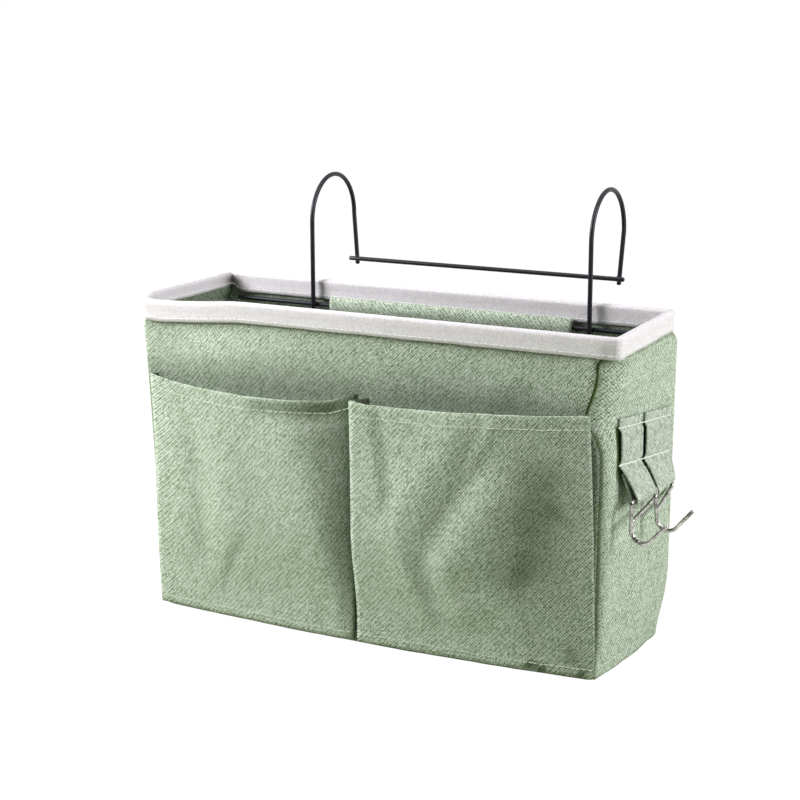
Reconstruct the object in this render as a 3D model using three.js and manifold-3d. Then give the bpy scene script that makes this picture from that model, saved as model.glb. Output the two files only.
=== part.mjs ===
// A bedside caddy: an open canvas bag with a bound wire rim, two bellows pockets on its
// front, a black wire bracket that hooks over a bed rail, and two small wire hooks that
// hang from webbing straps on its right side.
//
// Millimetres. +X runs along the bag to its right, +Y back towards the bed rail, +Z up.
// The origin is the centre of the bag's underside.
import * as THREE from "three";
import { mergeVertices } from "three/addons/utils/BufferGeometryUtils.js";
import Module from "manifold-3d";

const wasm = await Module();
wasm.setup();

// Driving dimensions of the bag
const rimLength = 320;
const rimDepth = 100;
const rimHeight = 208;
const clothThickness = 1.6;
const seamGap = 0.3;
const cornerRadius = 4.5;

// Rim: a wire ring in the fold of a bound tape
const tapeThickness = 0.9;
const tapeHeight = 13;
const rimWireDiameter = 2.6;

// How the soft walls leave the rim's rectangle on their way down
const endBelly = 3.5;
const leftTaper = 8;
const rightTaper = 1;
const footInset = 2;
const footHeight = 28;
const seamPull = 8.5;
const seamPullDropShare = 0.22;
const frontFlare = 3;
const frontBulge = 7;
const sideBulge = 1.5;
const bulgeExponent = 1.5;
const backShoulder = 1.7;
const shoulderHeight = 5;

// Base board, a loose stiffener on the floor of the bag
const boardThickness = 2;
const boardInset = 3;

// Front pockets
const pocketThickness = 1.2;
const pocketHeight = 155;
const pocketFoot = 3;
const hemHeight = 9;
const pleatDepth = 11;
const pleatTuck = 3;
const pleatSlit = 0.6;
const pocketFlatHeight = 10;
const pocketRiseHeight = 45;
const dividerX = -10;
const pocketSideInset = 1;
const leftHemSag = 6;
const rightHemSag = 3;
const leftHemSkew = 1.6;
const sewnDownShare = 0.35;

// Wire bracket
const wireDiameter = 3;
const weldGap = 0.05;
const barLength = 298;
const barDrop = 16.7;
const hookSpacing = 196;
const bracketShift = 8.6;
const hookGap = 58.6;
const hookRise = 84;
const legGap = 2;
const legStub = 3.4;
const tipDrop = 64.2;
const tipStub = 3.5;
const tieOverhang = 2.5;
const hookToeIn = 2.5;

// Casing on the back wall that the bracket's long bar turns in
const casingLength = 172;
const casingThickness = 1;
const casingTail = 16;
const casingFlange = 8;

// Side straps
const strapWidth = 35;
const strapHemWidth = 31;
const strapThickness = 1.2;
const strapGap = 2.5;
const strapPairY = 4.5;
const strapTopZ = 153;
const strapStitchDrop = 5.5;
const strapLoopHeight = 21.5;
const strapLoopStandoff = 2.7;
const strapLoopShare = 0.8;
const strapFlapLength = 20;
const strapSlope = 0.09;
const frontHemOut = 10;
const frontHemTwist = 2;
const rearHemOut = 5.2;
const rearHemTwist = 8;

// Small wire hooks on the straps; the end of the bend and the leans are in degrees
const smallWireDiameter = 2.4;
const smallLoopWidth = 34.6;
const smallLoopSide = 5;
const smallLoopBend = 2;
const smallLoopDepth = 12;
const shankLength = 17;
const hookBend = 7;
const hookBendEnd = 45;
const hookTipLength = 15;
const rearHookLean = 5;
const frontHookLean = 1;

// Colours and finishes
const canvas = new THREE.MeshStandardMaterial({ color: 0x8fa886, roughness: 0.92 });
const whiteTape = new THREE.MeshStandardMaterial({ color: 0xe6e2e0, roughness: 0.85 });
const blackWire = new THREE.MeshStandardMaterial({ color: 0x17171b, roughness: 0.4, metalness: 0.5 });
const bareSteel = new THREE.MeshStandardMaterial({ color: 0xa9abad, roughness: 0.4, metalness: 1 });
const chrome = new THREE.MeshStandardMaterial({ color: 0xd2d2d0, roughness: 0.12, metalness: 1 });
const board = new THREE.MeshStandardMaterial({ color: 0xb9b4a6, roughness: 0.8 });

// Sizes that follow from the ones above
const rimWireRadius = rimWireDiameter / 2;
const wallInset = tapeThickness + seamGap + Math.max(rimWireRadius, clothThickness / 2);
const wallHalfLength = rimLength / 2 - wallInset;
const wallHalfDepth = rimDepth / 2 - wallInset;
const rimWireZ = rimHeight - tapeThickness - seamGap - rimWireRadius;
const tapeFootZ = rimHeight - tapeHeight;
const wallTopZ = rimWireZ - rimWireRadius - seamGap;
const floorTopZ = clothThickness + seamGap;
const wireRadius = wireDiameter / 2;
const tapeFaceY = wallHalfDepth - rimWireRadius - seamGap - tapeThickness;
const wallInnerY = wallHalfDepth + backShoulder - clothThickness / 2;
const legY = tapeFaceY - legGap - wireRadius;
const barY = legY + wireDiameter + weldGap;
const barZ = rimHeight - barDrop;
const smallWireRadius = smallWireDiameter / 2;
const strapStitchZ = strapTopZ - strapStitchDrop;
const strapLowerStitchZ = strapStitchZ - strapLoopHeight;

// How finely curves are cut
const circleSegments = 6;
const tapeArcSteps = 4;
const rimWireSides = 8;
const railHookSteps = 30;
const smallHookSteps = 76;
const frontDivisions = 14;
const sideDivisions = 6;
const floorDivisions = 8;
const pocketDivisions = 12;
const weldTolerance = 1e-4;

function clamp01(value) {
  return Math.min(1, Math.max(0, value));
}

function smooth(value) {
  const t = clamp01(value);
  return t * t * (3 - 2 * t);
}

function radians(degrees) {
  return THREE.MathUtils.degToRad(degrees);
}

// Signed volume of an indexed geometry, positive when its faces point out.
function signedVolume(geometry) {
  const position = geometry.getAttribute("position");
  const index = geometry.index;
  const a = new THREE.Vector3();
  const b = new THREE.Vector3();
  const c = new THREE.Vector3();
  let sum = 0;
  for (let i = 0; i < index.count; i += 3) {
    a.fromBufferAttribute(position, index.getX(i));
    b.fromBufferAttribute(position, index.getX(i + 1));
    c.fromBufferAttribute(position, index.getX(i + 2));
    sum += a.dot(b.cross(c));
  }
  return sum;
}

// Turns every triangle round if the geometry is inside out.
function facingOut(geometry) {
  if (signedVolume(geometry) >= 0) return geometry;
  const index = geometry.index.array;
  for (let i = 0; i < index.length; i += 3) {
    [index[i + 1], index[i + 2]] = [index[i + 2], index[i + 1]];
  }
  return geometry;
}

// Joins closed contours of equal length into a skin. An open loft gets a cap at each end.
function loft(sections, closed = false) {
  const count = sections[0].length;
  const positions = sections.flat().flatMap((p) => [p.x, p.y, p.z]);
  const triangles = [];
  const spans = closed ? sections.length : sections.length - 1;
  for (let j = 0; j < spans; j += 1) {
    const here = j * count;
    const next = ((j + 1) % sections.length) * count;
    for (let i = 0; i < count; i += 1) {
      const k = (i + 1) % count;
      triangles.push(here + i, here + k, next + k, here + i, next + k, next + i);
    }
  }
  if (!closed) {
    const last = (sections.length - 1) * count;
    for (const [a, b, c] of capTriangles(sections[0])) triangles.push(c, b, a);
    for (const [a, b, c] of capTriangles(sections.at(-1))) triangles.push(last + a, last + b, last + c);
  }
  const geometry = new THREE.BufferGeometry();
  geometry.setAttribute("position", new THREE.Float32BufferAttribute(positions, 3));
  geometry.setIndex(triangles);
  return facingOut(geometry);
}

// Triangles of a contour, wound as the contour runs, seen along its largest normal component.
function capTriangles(contour) {
  const normal = new THREE.Vector3();
  contour.forEach((p, i) => normal.add(p.clone().cross(contour[(i + 1) % contour.length])));
  const size = normal.clone().set(Math.abs(normal.x), Math.abs(normal.y), Math.abs(normal.z));
  const flat = (p) => {
    if (size.z >= size.x && size.z >= size.y) return new THREE.Vector2(p.x, p.y);
    if (size.x >= size.y) return new THREE.Vector2(p.y, p.z);
    return new THREE.Vector2(p.z, p.x);
  };
  const points = contour.map(flat);
  const turned = THREE.ShapeUtils.isClockWise(points);
  const faces = THREE.ShapeUtils.triangulateShape(turned ? [...points].reverse() : points, []);
  if (!turned) return faces;
  return faces.map((face) => face.map((i) => points.length - 1 - i).reverse());
}

// Booleans: a geometry becomes a solid and comes back as a geometry.
function solidOf(geometry) {
  const bare = geometry.clone();
  bare.deleteAttribute("normal");
  bare.deleteAttribute("uv");
  const merged = facingOut(mergeVertices(bare, weldTolerance));
  return new wasm.Manifold(
    new wasm.Mesh({
      numProp: 3,
      vertProperties: merged.getAttribute("position").array,
      triVerts: new Uint32Array(merged.index.array),
    }),
  );
}

function geometryOf(solid) {
  const mesh = solid.getMesh();
  const geometry = new THREE.BufferGeometry();
  geometry.setAttribute("position", new THREE.Float32BufferAttribute(mesh.vertProperties, 3));
  geometry.setIndex(new THREE.BufferAttribute(mesh.triVerts, 1));
  return geometry;
}

// A flat path lifted into space by a function of its two coordinates.
class LiftedPath extends THREE.Curve {
  constructor(path, lift) {
    super();
    this.path = path;
    this.lift = lift;
  }

  getPoint(t, target = new THREE.Vector3()) {
    const flat = this.path.getPoint(t);
    return target.copy(this.lift(flat.x, flat.y));
  }
}

// A round bar bent along a curve.
function bentWire(curve, radius, steps) {
  const section = new THREE.Shape().absarc(0, 0, radius, 0, 2 * Math.PI);
  return new THREE.ExtrudeGeometry(section, { extrudePath: curve, steps, curveSegments: circleSegments });
}

// A straight round bar along X, from its middle.
function straightBar(length, radius) {
  return new THREE.CylinderGeometry(radius, radius, length, 2 * circleSegments).rotateZ(Math.PI / 2);
}

// Walls

// How far down the soft wall a height is: 0 under the rim tape, 1 at the floor.
function dropAt(z) {
  return clamp01((tapeFootZ - z) / tapeFootZ);
}

// The walls' mid-surface corners at a height, before rounding: front left, front right,
// back right and back left. Below the tape the back and the ends step out a little, which
// leaves room for the bracket's stubs, and the front right seam is pulled in.
function wallCorners(z) {
  const drop = dropAt(z);
  const step = clamp01((tapeFootZ - z) / shoulderHeight);
  const end = wallHalfLength + endBelly * step - footInset * (1 - smooth(z / footHeight));
  const pulled = wallHalfLength - seamPull * smooth(drop / seamPullDropShare);
  const frontY = -(wallHalfDepth + frontFlare * drop ** bulgeExponent);
  const backY = wallHalfDepth + backShoulder * step;
  return [
    new THREE.Vector2(-end + leftTaper * drop, frontY),
    new THREE.Vector2(pulled, frontY),
    new THREE.Vector2(end - rightTaper * drop, backY),
    new THREE.Vector2(-end + leftTaper * drop, backY),
  ];
}

// Outward bulge of each wall, 0 at its seams. The back wall lies flat on the bed.
const faceNames = ["front", "right", "back", "left"];
const faceBulges = { front: frontBulge, right: sideBulge, back: 0, left: sideBulge };

function bulgeAt(face, share, z) {
  return faceBulges[face] * 4 * share * (1 - share) * dropAt(z) ** bulgeExponent;
}

// Points of a quadratic curve that rounds a corner, with their outward normals.
function cornerPoint(before, corner, after, t) {
  const from = corner.clone().add(before.clone().sub(corner).setLength(cornerRadius));
  const to = corner.clone().add(after.clone().sub(corner).setLength(cornerRadius));
  const point = from.clone().multiplyScalar((1 - t) ** 2);
  point.addScaledVector(corner, 2 * t * (1 - t)).addScaledVector(to, t ** 2);
  const tangent = corner.clone().sub(from).multiplyScalar(1 - t).addScaledVector(to.clone().sub(corner), t);
  tangent.normalize();
  return { point, normal: new THREE.Vector2(tangent.y, -tangent.x) };
}

// One wall's mid-line at a height, from the middle of one rounded corner to the next.
// trim shortens each end by that length.
function faceLine(face, z, divisions, trim = 0) {
  const corners = wallCorners(z);
  const i = faceNames.indexOf(face);
  const [before, start, end, after] = [3, 0, 1, 2].map((step) => corners[(i + step) % 4]);
  const along = end.clone().sub(start).normalize();
  const normal = new THREE.Vector2(along.y, -along.x);
  const first = start.clone().addScaledVector(along, cornerRadius);
  const last = end.clone().addScaledVector(along, -cornerRadius);
  const cut = trim / (cornerRadius * Math.SQRT2);
  const quarter = (0.5 + cut + 1) / 2;
  const line = [cornerPoint(before, start, end, 0.5 + cut), cornerPoint(before, start, end, quarter)];
  for (let k = 0; k <= divisions; k += 1) {
    const share = k / divisions;
    const point = first.clone().lerp(last, share).addScaledVector(normal, bulgeAt(face, share, z));
    line.push({ point, normal });
  }
  line.push(cornerPoint(start, end, after, 1 - quarter), cornerPoint(start, end, after, 0.5 - cut));
  return line;
}

function offsetPoint({ point, normal }, offset, z) {
  return new THREE.Vector3(point.x + normal.x * offset, point.y + normal.y * offset, z);
}

// Heights at which a wall is shaped: even below, then closer where the seam is pulled in.
const seamPullZ = tapeFootZ * (1 - seamPullDropShare);
const lowerLevelShares = [0, 0.06, 0.18, 0.4, 0.6, 0.8];
const upperLevelShares = [0, 0.33, 0.67, 1];
const shoulderZ = tapeFootZ - shoulderHeight;
const wallLevels = [
  ...lowerLevelShares.map((share) => THREE.MathUtils.lerp(floorTopZ, seamPullZ, share)),
  ...upperLevelShares.map((share) => THREE.MathUtils.lerp(seamPullZ, shoulderZ, share)),
  tapeFootZ,
  wallTopZ,
];

// A wall is straight between its levels, so what rests on it is placed between them too.
function betweenLevels(z, sizeAt) {
  const above = Math.max(1, wallLevels.findIndex((level) => level >= z));
  const [low, high] = [wallLevels[above - 1], wallLevels[above]];
  return THREE.MathUtils.lerp(sizeAt(low), sizeAt(high), (z - low) / (high - low));
}

function wall(face, divisions) {
  const half = clothThickness / 2;
  const sections = wallLevels.map((z) => {
    const line = faceLine(face, z, divisions, seamGap / 2);
    const outer = line.map((spot) => offsetPoint(spot, half, z));
    const inner = line.map((spot) => offsetPoint(spot, -half, z)).reverse();
    return [...outer, ...inner];
  });
  return loft(sections);
}

// The whole outline at a height, pushed out or in, as a flat contour.
function outline(z, offset, divisions) {
  return faceNames.flatMap((face) =>
    faceLine(face, z, divisions)
      .slice(0, -1)
      .map((spot) => offsetPoint(spot, offset, z)),
  );
}

function slab(zLow, zHigh, offset) {
  const contour = outline(floorTopZ, offset, floorDivisions);
  return loft([contour.map((p) => p.clone().setZ(zLow)), contour.map((p) => p.clone().setZ(zHigh))]);
}

// Rim

// The rim path: the rounded rectangle that the tape, the wire and the wall tops share.
function rimPath() {
  return faceNames.flatMap((face) => faceLine(face, rimHeight, 1).slice(0, -1));
}

function rimTape() {
  const legInner = clothThickness / 2 + seamGap;
  const legOuter = legInner + tapeThickness;
  const bulbInner = rimWireRadius + seamGap;
  const bulbOuter = bulbInner + tapeThickness;
  const neckZ = rimWireZ - bulbOuter;
  const arc = (radius, from, to) =>
    Array.from({ length: tapeArcSteps + 1 }, (_, k) => {
      const angle = from + ((to - from) * k) / tapeArcSteps;
      return [radius * Math.cos(angle), rimWireZ + radius * Math.sin(angle)];
    });
  const profile = [
    [legOuter, tapeFootZ],
    [legOuter, neckZ],
    ...arc(bulbOuter, 0, Math.PI),
    [-legOuter, neckZ],
    [-legOuter, tapeFootZ],
    [-legInner, tapeFootZ],
    [-legInner, neckZ],
    ...arc(bulbInner, Math.PI, 0),
    [legInner, neckZ],
    [legInner, tapeFootZ],
  ];
  return loft(rimPath().map((spot) => profile.map(([offset, z]) => offsetPoint(spot, offset, z))), true);
}

function rimWire() {
  const section = Array.from({ length: rimWireSides }, (_, k) => (2 * Math.PI * k) / rimWireSides);
  const ring = (spot) =>
    section.map((angle) => {
      const height = rimWireZ + rimWireRadius * Math.sin(angle);
      return offsetPoint(spot, rimWireRadius * Math.cos(angle), height);
    });
  return loft(rimPath().map(ring), true);
}

// Pockets

// Outer face of the front wall at a place along it.
function frontFaceY(x, z) {
  return betweenLevels(z, (level) => {
    const [left, right] = wallCorners(level);
    const share = clamp01((x - left.x - cornerRadius) / (right.x - left.x - 2 * cornerRadius));
    return left.y - bulgeAt("front", share, level) - clothThickness / 2;
  });
}

// A pocket is one sheet, pleated where its edge has a fold and sewn down flat where it has
// none. Its top hem is turned in, so it is double there, and sags between its ends. A skew
// over 1 moves the lowest place of the sag to the right.
function pocket({ leftX, rightX, leftPleat, rightPleat, sag, skew }) {
  const hemLineShare = 1 - hemHeight / pocketHeight;
  const hemStepShare = pleatSlit / pocketHeight;
  const levelShares = [0, 0.06, 0.14, 0.24, 0.38, 0.6, 0.8, hemLineShare, hemLineShare + hemStepShare, 1];
  const sections = levelShares.map((level) => {
    const doubled = level > hemLineShare;
    const outer = [];
    const inner = [];
    for (let k = 0; k <= pocketDivisions; k += 1) {
      const share = k / pocketDivisions;
      const x = THREE.MathUtils.lerp(leftX, rightX, share);
      const dip = sag * Math.sin(Math.PI * share ** skew);
      const z = pocketFoot + level * (pocketHeight - dip - pocketFoot);
      const back = frontFaceY(x, z) - seamGap;
      const leftHold = leftPleat ? 1 : smooth(share / sewnDownShare);
      const rightHold = rightPleat ? 1 : smooth((1 - share) / sewnDownShare);
      const rise = smooth((z - pocketFlatHeight) / pocketRiseHeight);
      const depth = pleatSlit + (pleatDepth - pleatSlit) * rise * leftHold * rightHold;
      const lining = Math.min(doubled ? 2 * pocketThickness : pocketThickness, pocketThickness + depth / 2);
      outer.push({ x, y: back - depth - pocketThickness, z });
      inner.push({ x, y: back - depth - pocketThickness + lining, z });
      if (k === 0) {
        const tuck = leftPleat ? pleatTuck * rise : 0;
        outer.unshift({ x: x + tuck, y: back, z });
        inner[0].x = x + pocketThickness;
        inner.unshift({ x: x + tuck + pocketThickness, y: back, z });
      }
      if (k === pocketDivisions) {
        const tuck = rightPleat ? pleatTuck * rise : 0;
        outer.push({ x: x - tuck, y: back, z });
        inner.at(-1).x = x - pocketThickness;
        inner.push({ x: x - tuck - pocketThickness, y: back, z });
      }
    }
    return [...outer, ...inner.reverse()].map((p) => new THREE.Vector3(p.x, p.y, p.z));
  });
  return loft(sections);
}

// Bracket

// A rail hook: up from the bar, over in a half circle and down to its tip, which toes in.
function railHook(x, inward) {
  const radius = hookGap / 2;
  const arcZ = barZ + hookRise - radius;
  const tipZ = barZ + hookRise - tipDrop;
  const middleY = legY + radius;
  const path = new THREE.Path();
  path.moveTo(legY, barZ - legStub);
  path.lineTo(legY, arcZ);
  path.absarc(middleY, arcZ, radius, Math.PI, 0, true);
  path.lineTo(legY + hookGap, tipZ);
  const toe = (y, z) => (y > middleY ? inward * hookToeIn * clamp01((arcZ - z) / (arcZ - tipZ)) : 0);
  const curve = new LiftedPath(path, (y, z) => new THREE.Vector3(x + toe(y, z), y, z));
  return bentWire(curve, wireRadius, railHookSteps);
}

// The tie bar joins the rear legs near their tips, so their toe-in sets its length.
function tieBar() {
  const toedSpacing = hookSpacing - 2 * hookToeIn;
  const bar = straightBar(toedSpacing + 2 * (tieOverhang + wireRadius), wireRadius);
  return bar.translate(bracketShift, legY + hookGap - wireDiameter - weldGap, barZ + hookRise - tipDrop + tipStub);
}

// The casing hangs over the bar in a drop shape and is sewn to the back wall below it.
function barCasing() {
  const radius = wireRadius + seamGap + casingThickness;
  const wallY = wallInnerY - seamGap;
  const shape = new THREE.Shape();
  shape.moveTo(barY + radius, barZ);
  shape.absarc(barY, barZ, radius, 0, Math.PI, false);
  shape.lineTo(wallY - 2 * casingThickness, barZ - casingTail);
  shape.lineTo(wallY - 2 * casingThickness, barZ - casingTail - casingFlange);
  shape.lineTo(wallY, barZ - casingTail - casingFlange);
  shape.lineTo(wallY, barZ - casingTail);
  shape.closePath();
  const tunnel = new THREE.Path();
  tunnel.absarc(barY, barZ, wireRadius + seamGap, 0, Math.PI, false);
  tunnel.lineTo(wallY - casingThickness - seamGap / 2, barZ - casingTail + casingThickness);
  tunnel.lineTo(wallY - casingThickness + seamGap / 2, barZ - casingTail + casingThickness);
  shape.holes.push(tunnel);
  const casing = new THREE.ExtrudeGeometry(shape, {
    depth: casingLength,
    bevelEnabled: false,
    curveSegments: circleSegments,
  });
  const upright = new THREE.Matrix4().makeBasis(
    new THREE.Vector3(0, 1, 0),
    new THREE.Vector3(0, 0, 1),
    new THREE.Vector3(1, 0, 0),
  );
  return casing.applyMatrix4(upright).translate(bracketShift - casingLength / 2, 0, 0);
}

// Side straps and their hooks

// Outer face of the right wall at a place along it.
function rightFaceX(y, z) {
  return betweenLevels(z, (level) => {
    const [, front, back] = wallCorners(level);
    const depth = back.y - front.y;
    const share = clamp01((y - front.y - cornerRadius) / (depth - 2 * cornerRadius));
    const line = THREE.MathUtils.lerp(front.x, back.x, (y - front.y) / depth);
    return line + bulgeAt("right", share, level) + clothThickness / 2;
  });
}

// Where a strap's hem holds its hook: the middle of the hook's bar and the bar's bearing,
// in degrees from +Y towards +X.
function hemOf(middleY, hemOut, twist) {
  const z = strapLowerStitchZ - strapSlope * (middleY - strapPairY) - strapFlapLength;
  const slant = rightFaceX(middleY + strapWidth / 2, z) - rightFaceX(middleY - strapWidth / 2, z);
  const bearing = THREE.MathUtils.radToDeg(Math.atan2(slant, strapWidth)) - twist;
  return { middle: new THREE.Vector3(rightFaceX(middleY, z) + hemOut, middleY, z), bearing };
}

// A strap: a flat end, a loop that stands off the wall between its two stitch lines, and a
// flap folded round the bar of its hook. Its flap may hang twisted.
function strap(middleY, hem) {
  const hemRadius = smallWireRadius + seamGap + strapThickness;
  const bulge = strapLoopStandoff;
  const ply = strapThickness;
  const loopMid = (strapStitchZ + strapLowerStitchZ) / 2;
  const loopQuarter = strapLoopHeight / 4;
  const upper = [
    [seamGap, strapTopZ],
    [seamGap + ply, strapTopZ],
    [seamGap + ply, strapStitchZ],
    [seamGap + ply + bulge * strapLoopShare, loopMid + loopQuarter],
    [seamGap + ply + bulge, loopMid],
    [seamGap + ply + bulge * strapLoopShare, loopMid - loopQuarter],
    [seamGap + 2 * ply, strapLowerStitchZ],
  ];
  const back = [
    [seamGap, strapLowerStitchZ],
    [seamGap + bulge * strapLoopShare, loopMid - loopQuarter],
    [seamGap + bulge, loopMid],
    [seamGap + bulge * strapLoopShare, loopMid + loopQuarter],
    [seamGap, strapStitchZ],
  ];
  const turn = radians(hem.bearing);
  const along = new THREE.Vector3(Math.sin(turn), Math.cos(turn), 0);
  const out = new THREE.Vector3(Math.cos(turn), -Math.sin(turn), 0);
  const evenShares = [0, 0.25, 0.5, 0.75, 1];
  const stations = evenShares.map((share) => {
    const y = middleY + (share - 0.5) * strapWidth;
    const lift = -strapSlope * (y - strapPairY);
    const onWall = ([offset, z]) => new THREE.Vector3(rightFaceX(y, z + lift) + offset, y, z + lift);
    const hemSpot = hem.middle.clone().addScaledVector(along, (share - 0.5) * strapHemWidth);
    const fold = evenShares.map((k) => {
      const angle = -Math.PI * k;
      const spot = hemSpot.clone().addScaledVector(out, hemRadius * Math.cos(angle));
      return spot.setZ(hemSpot.z + hemRadius * Math.sin(angle));
    });
    return [...upper.map(onWall), ...fold, ...back.map(onWall)];
  });
  const bore = new THREE.CylinderGeometry(
    smallWireRadius + seamGap,
    smallWireRadius + seamGap,
    2 * strapWidth,
    2 * circleSegments,
  );
  bore.rotateZ(-turn).translate(hem.middle.x, hem.middle.y, hem.middle.z);
  return geometryOf(solidOf(loft(stations)).subtract(solidOf(bore)));
}

// A small hook, one bent wire that hangs from the origin: from its tip it turns through an
// open J that faces +X, rises as the shank at the front end of the bar, runs along Y as the
// bar, and comes back under the hem to just short of the shank.
function smallHook(lean) {
  const half = smallLoopWidth / 2;
  const bend = smallLoopBend;
  const stop = radians(hookBendEnd);
  const bendEnd = new THREE.Vector2(hookBend, -shankLength);
  bendEnd.add(new THREE.Vector2(Math.cos(stop), -Math.sin(stop)).multiplyScalar(hookBend));
  const j = new THREE.Path();
  j.moveTo(bendEnd.x + hookTipLength * Math.sin(stop), bendEnd.y + hookTipLength * Math.cos(stop));
  j.lineTo(bendEnd.x, bendEnd.y);
  j.absarc(hookBend, -shankLength, hookBend, 2 * Math.PI - stop, Math.PI, true);
  const loop = new THREE.Path();
  loop.moveTo(-half, -shankLength);
  loop.lineTo(-half, -bend);
  loop.quadraticCurveTo(-half, 0, -half + bend, 0);
  loop.lineTo(half - bend, 0);
  loop.quadraticCurveTo(half, 0, half, -bend);
  loop.lineTo(half, -smallLoopSide + bend / 2);
  loop.quadraticCurveTo(half, -smallLoopSide, half - bend, -smallLoopSide - bend / 2);
  loop.lineTo(-half + smallWireRadius + 2 * seamGap, -smallLoopDepth);
  const route = new THREE.CurvePath();
  route.add(new LiftedPath(j, (x, z) => new THREE.Vector3(x, -half, z)));
  route.add(new LiftedPath(loop, (y, z) => new THREE.Vector3(0, y, z)));
  return bentWire(route, smallWireRadius, smallHookSteps).rotateY(-radians(lean));
}

// The assembly

function mesh(name, geometry, material) {
  const made = new THREE.Mesh(geometry, material);
  made.name = name;
  return made;
}

const caddy = new THREE.Group();

caddy.add(
  mesh("front_panel", wall("front", frontDivisions), canvas),
  mesh("back_panel", wall("back", 1), canvas),
  mesh("left_panel", wall("left", sideDivisions), canvas),
  mesh("right_panel", wall("right", sideDivisions), canvas),
  mesh("bottom_panel", slab(0, clothThickness, clothThickness / 2), canvas),
  mesh("base_board", slab(floorTopZ, floorTopZ + boardThickness, -boardInset), board),
  mesh("rim_tape", rimTape(), whiteTape),
  mesh("rim_wire", rimWire(), bareSteel),
);

const [floorLeft, floorRight] = wallCorners(floorTopZ);
caddy.add(
  mesh(
    "left_pocket",
    pocket({
      leftX: floorLeft.x + pocketSideInset,
      rightX: dividerX - pocketSideInset,
      leftPleat: true,
      rightPleat: false,
      sag: leftHemSag,
      skew: leftHemSkew,
    }),
    canvas,
  ),
  mesh(
    "right_pocket",
    pocket({
      leftX: dividerX,
      rightX: floorRight.x - pocketSideInset - cornerRadius / 2,
      leftPleat: true,
      rightPleat: true,
      sag: rightHemSag,
      skew: 1,
    }),
    canvas,
  ),
);

caddy.add(
  mesh("bar_casing", barCasing(), canvas),
  mesh("casing_bar", straightBar(barLength, wireRadius).translate(0, barY, barZ), blackWire),
  mesh("left_rail_hook", railHook(bracketShift - hookSpacing / 2, 1), blackWire),
  mesh("right_rail_hook", railHook(bracketShift + hookSpacing / 2, -1), blackWire),
  mesh("tie_bar", tieBar(), blackWire),
);

const strapPitch = strapWidth + strapGap;
const sideSets = [
  { end: "front", y: strapPairY - strapPitch / 2, out: frontHemOut, twist: frontHemTwist, lean: frontHookLean },
  { end: "rear", y: strapPairY + strapPitch / 2, out: rearHemOut, twist: rearHemTwist, lean: rearHookLean },
];
for (const { end, y, out, twist, lean } of sideSets) {
  const hem = hemOf(y, out, twist);
  caddy.add(mesh(`${end}_strap`, strap(y, hem), canvas));
  const hanger = new THREE.Group();
  hanger.position.copy(hem.middle);
  hanger.rotation.z = -radians(hem.bearing);
  hanger.add(mesh(`${end}_small_hook`, smallHook(lean), chrome));
  caddy.add(hanger);
}

export default caddy;
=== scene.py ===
"""The looks of a bedside caddy: a canvas bag with a bound rim, two front pockets, a black
wire bracket, and two small chrome hooks on straps. Sizes are in millimetres, and MM turns
them into metres. +X runs to the bag's right, +Y back towards the bed rail, +Z up."""

import functools
import math

import bpy
import numpy as np
from mathutils import Matrix, Vector


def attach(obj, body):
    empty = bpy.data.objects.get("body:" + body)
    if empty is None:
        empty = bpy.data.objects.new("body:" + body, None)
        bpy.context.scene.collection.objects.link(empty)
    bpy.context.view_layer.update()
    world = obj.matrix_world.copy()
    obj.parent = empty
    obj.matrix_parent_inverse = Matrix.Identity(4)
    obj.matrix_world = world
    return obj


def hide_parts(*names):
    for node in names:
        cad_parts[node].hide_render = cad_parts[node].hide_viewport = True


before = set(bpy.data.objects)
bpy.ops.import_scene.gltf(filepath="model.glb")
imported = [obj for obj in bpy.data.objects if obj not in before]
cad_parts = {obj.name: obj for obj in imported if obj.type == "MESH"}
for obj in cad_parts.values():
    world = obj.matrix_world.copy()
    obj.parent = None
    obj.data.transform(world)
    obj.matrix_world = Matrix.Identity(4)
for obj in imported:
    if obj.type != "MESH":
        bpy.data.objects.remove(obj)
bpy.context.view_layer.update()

MM = 0.001

# Bag
RIM_LENGTH = 320
RIM_DEPTH = 100
RIM_HEIGHT = 208
CLOTH = 1.6
SEAM_GAP = 0.3
CORNER_RADIUS = 3.2
TAPE_THICKNESS = 0.9
TAPE_HEIGHT = 13
RIM_WIRE_RADIUS = 1.3
WALL_INSET = TAPE_THICKNESS + SEAM_GAP + RIM_WIRE_RADIUS
WALL_HALF_LENGTH = RIM_LENGTH / 2 - WALL_INSET
WALL_HALF_DEPTH = RIM_DEPTH / 2 - WALL_INSET
RIM_WIRE_Z = RIM_HEIGHT - TAPE_THICKNESS - SEAM_GAP - RIM_WIRE_RADIUS
TAPE_FOOT_Z = RIM_HEIGHT - TAPE_HEIGHT
WALL_TOP_Z = RIM_WIRE_Z - RIM_WIRE_RADIUS - SEAM_GAP

# How the walls leave the rim's rectangle on their way down
END_BELLY = 3.5
LEFT_TAPER = 8
RIGHT_TAPER = 1
FOOT_INSET = 2
FOOT_HEIGHT = 28
SEAM_PULL = 8.5
SEAM_PULL_DROP_SHARE = 0.22
FRONT_FLARE = 3
FRONT_BULGE = 7
SIDE_BULGE = 1.5
BULGE_EXPONENT = 1.5
BACK_SHOULDER = 1.7
SHOULDER_HEIGHT = 5
FOOT_ROLL = 0.8

# Pockets
POCKET_THICKNESS = 1.2
POCKET_CLOTH = 0.8
POCKET_FOOT = 3
POCKET_TOP_Z = 155
HEM_HEIGHT = 8
PLEAT_SLIT = 0.6
POCKET_FLAT_HEIGHT = 10
POCKET_RISE_HEIGHT = 70
SEAM_STITCH_Z = 8

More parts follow.
